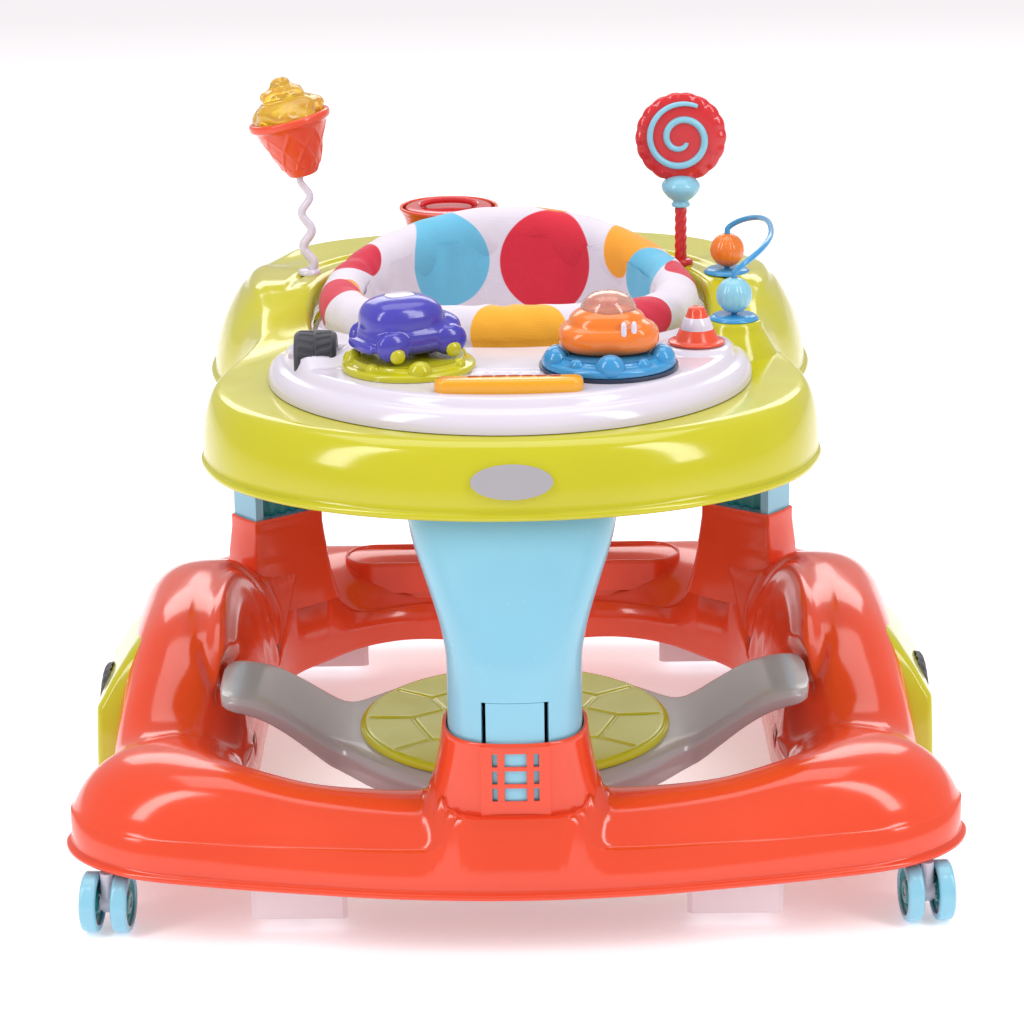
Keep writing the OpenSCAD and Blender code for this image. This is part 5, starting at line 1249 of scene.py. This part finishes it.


# Wheel: a rounded tread, then a sunk dish to the hub on both faces, turned about the axle; the dish is teal,
# painted shade of the sky-blue wheel's inner faces
def wheelPieces(node, body):
    middle, turn = wheelFrame(node)
    r, h, c, d = wheel["r"], wheel["half"], wheel["round"], wheel["well"]
    tread = smoothRows(np.array([[18.5, h - 1.5], [19, h - 0.4], [20, h], [r - c, h], [r - 0.7, h - 0.8],
                                 [r, h - c],
                                 [r, 0], [r, c - h], [r - 0.7, 0.8 - h], [r - c, -h], [20, -h], [19, 0.4 - h],
                                 [18.5, 1.5 - h]]), 4)
    rim = lathe(node + "Tread", tread, middle, 96, tilt=turn, closed=False)
    finishPiece(rim, skyPlastic, body, node)
    dish = np.array([[18.7, h - 1.0], [18, h - d], [10, h - d], [9, h - 1.2], [8, h - 0.8], [4, h - 0.8],
                     [3.4, h - 1.6],
                     [3.4, 1.6 - h], [4, 0.8 - h], [8, 0.8 - h], [9, 1.2 - h], [10, d - h], [18, d - h],
                     [18.7, 1.0 - h]])
    finishPiece(lathe(node + "PaintedShadeDish", dish, middle, 72, tilt=turn, closed=False), paintedShadeTeal, body)


for corner in ("fl", "fr", "rl", "rr"):
    for place, letter in (("inner", "a"), ("outer", "b")):
        wheelPieces(f"wheel_{corner}_{place}", f"wheel_{corner}_{letter}")

carried = {"caster_sockets": orangePlastic, "stopper_pads": padPlastic, "base_screws": zincSteel,
           "rear_leg_left": skyPlastic, "rear_leg_right": skyPlastic, "music_box": whitePlastic,
           "battery_door": whitePlastic, "seat_hoop": whitePlastic, "turntable": darkPlastic,
           "tyre_axle": whitePlastic,
           "tray_badge": foilMetal}
for corner in ("fl", "fr", "rl", "rr"):
    carried["caster_fork_" + corner] = whitePlastic
    carried["caster_axle_" + corner] = zincSteel
for name, material in carried.items():
    piece = nodes[name]
    if not piece.material_slots:
        piece.data.materials.append(material)
    for place in piece.material_slots:
        place.material = material
    if name not in ("base_screws", "tyre_axle") and "axle" not in name:
        addModifier(piece, "BEVEL", width=0.7 * mm, segments=2, limit_method="ANGLE",
                    angle_limit=math.radians(40))
print("carried-over nodes finished")


def paleFloor():
    material, tree = newMaterial("paper backdrop pale")
    place = addNode(tree, "ShaderNodeTexCoord").outputs["Object"]
    fibre = addNode(tree, "ShaderNodeTexNoise", values={"Scale": 3.0}, links={"Vector": place})
    tone = addNode(tree, "ShaderNodeMix", {"data_type": "RGBA"},
                   {"A": toLinear("#fbf6f9"), "B": toLinear("#fdf9fb")}, {"Factor": fibre.outputs["Fac"]})
    shader = addNode(tree, "ShaderNodeBsdfPrincipled",
                     values={"Roughness": 0.5, "Specular IOR Level": 0.3, "Emission Strength": 0.36,
                             "Emission Color": (1.0, 0.97, 0.985, 1)},
                     links={"Base Color": tone.outputs["Result"]})
    addNode(tree, "ShaderNodeOutputMaterial", links={"Surface": shader.outputs[0]})
    return material


floorMesh = bpy.data.meshes.new("floor")
floorMesh.from_pydata([(-14, -10, 0), (14, -10, 0), (14, 26, 0), (-14, 26, 0)], [], [(0, 1, 2, 3)])
floor = bpy.data.objects.new("floor", floorMesh)
bpy.context.scene.collection.objects.link(floor)
floorMesh.materials.append(paleFloor())

world = bpy.data.worlds.new("studio")
bpy.context.scene.world = world
world.use_nodes = True
world.node_tree.nodes["Background"].inputs["Color"].default_value = (1.0, 0.985, 0.995, 1)
world.node_tree.nodes["Background"].inputs["Strength"].default_value = 0.56

lamps = [("keyLeft", (-1.7, -1.3, 1.9), (0.5, 2.2), 25), ("keyRight", (1.7, -1.3, 1.9), (0.5, 2.2), 25),
         ("overhead", (0, 0.3, 2.6), (2.2, 1.4), 20), ("backWide", (0, 3.4, 2.2), (4.0, 1.2), 40)]
for name, place, size, watts in lamps:
    light = bpy.data.lights.new(name, "AREA")
    light.shape, light.size, light.size_y, light.energy = "RECTANGLE", size[0], size[1], watts
    lamp = bpy.data.objects.new(name, light)
    bpy.context.scene.collection.objects.link(lamp)
    aim = Vector((0, 0, 0.25)) - Vector(place)
    lamp.matrix_world = Matrix.Translation(place) @ aim.to_track_quat("-Z", "Y").to_matrix().to_4x4()

view = bpy.data.cameras.new("camera")
view.lens, view.sensor_width, view.clip_end = 116.0, 36.0, 60.0
camera = bpy.data.objects.new("camera", view)
camera.matrix_world = (Matrix.Translation((0, -2.72, 1.07)) @ Matrix.Rotation(math.radians(90 - 16.79), 4, "X")
                       @ Matrix.Rotation(math.radians(-0.8), 4, "Z"))
bpy.context.scene.collection.objects.link(camera)
bpy.context.scene.camera = camera
bpy.context.scene.view_settings.view_transform = "Standard"
print("studio made")
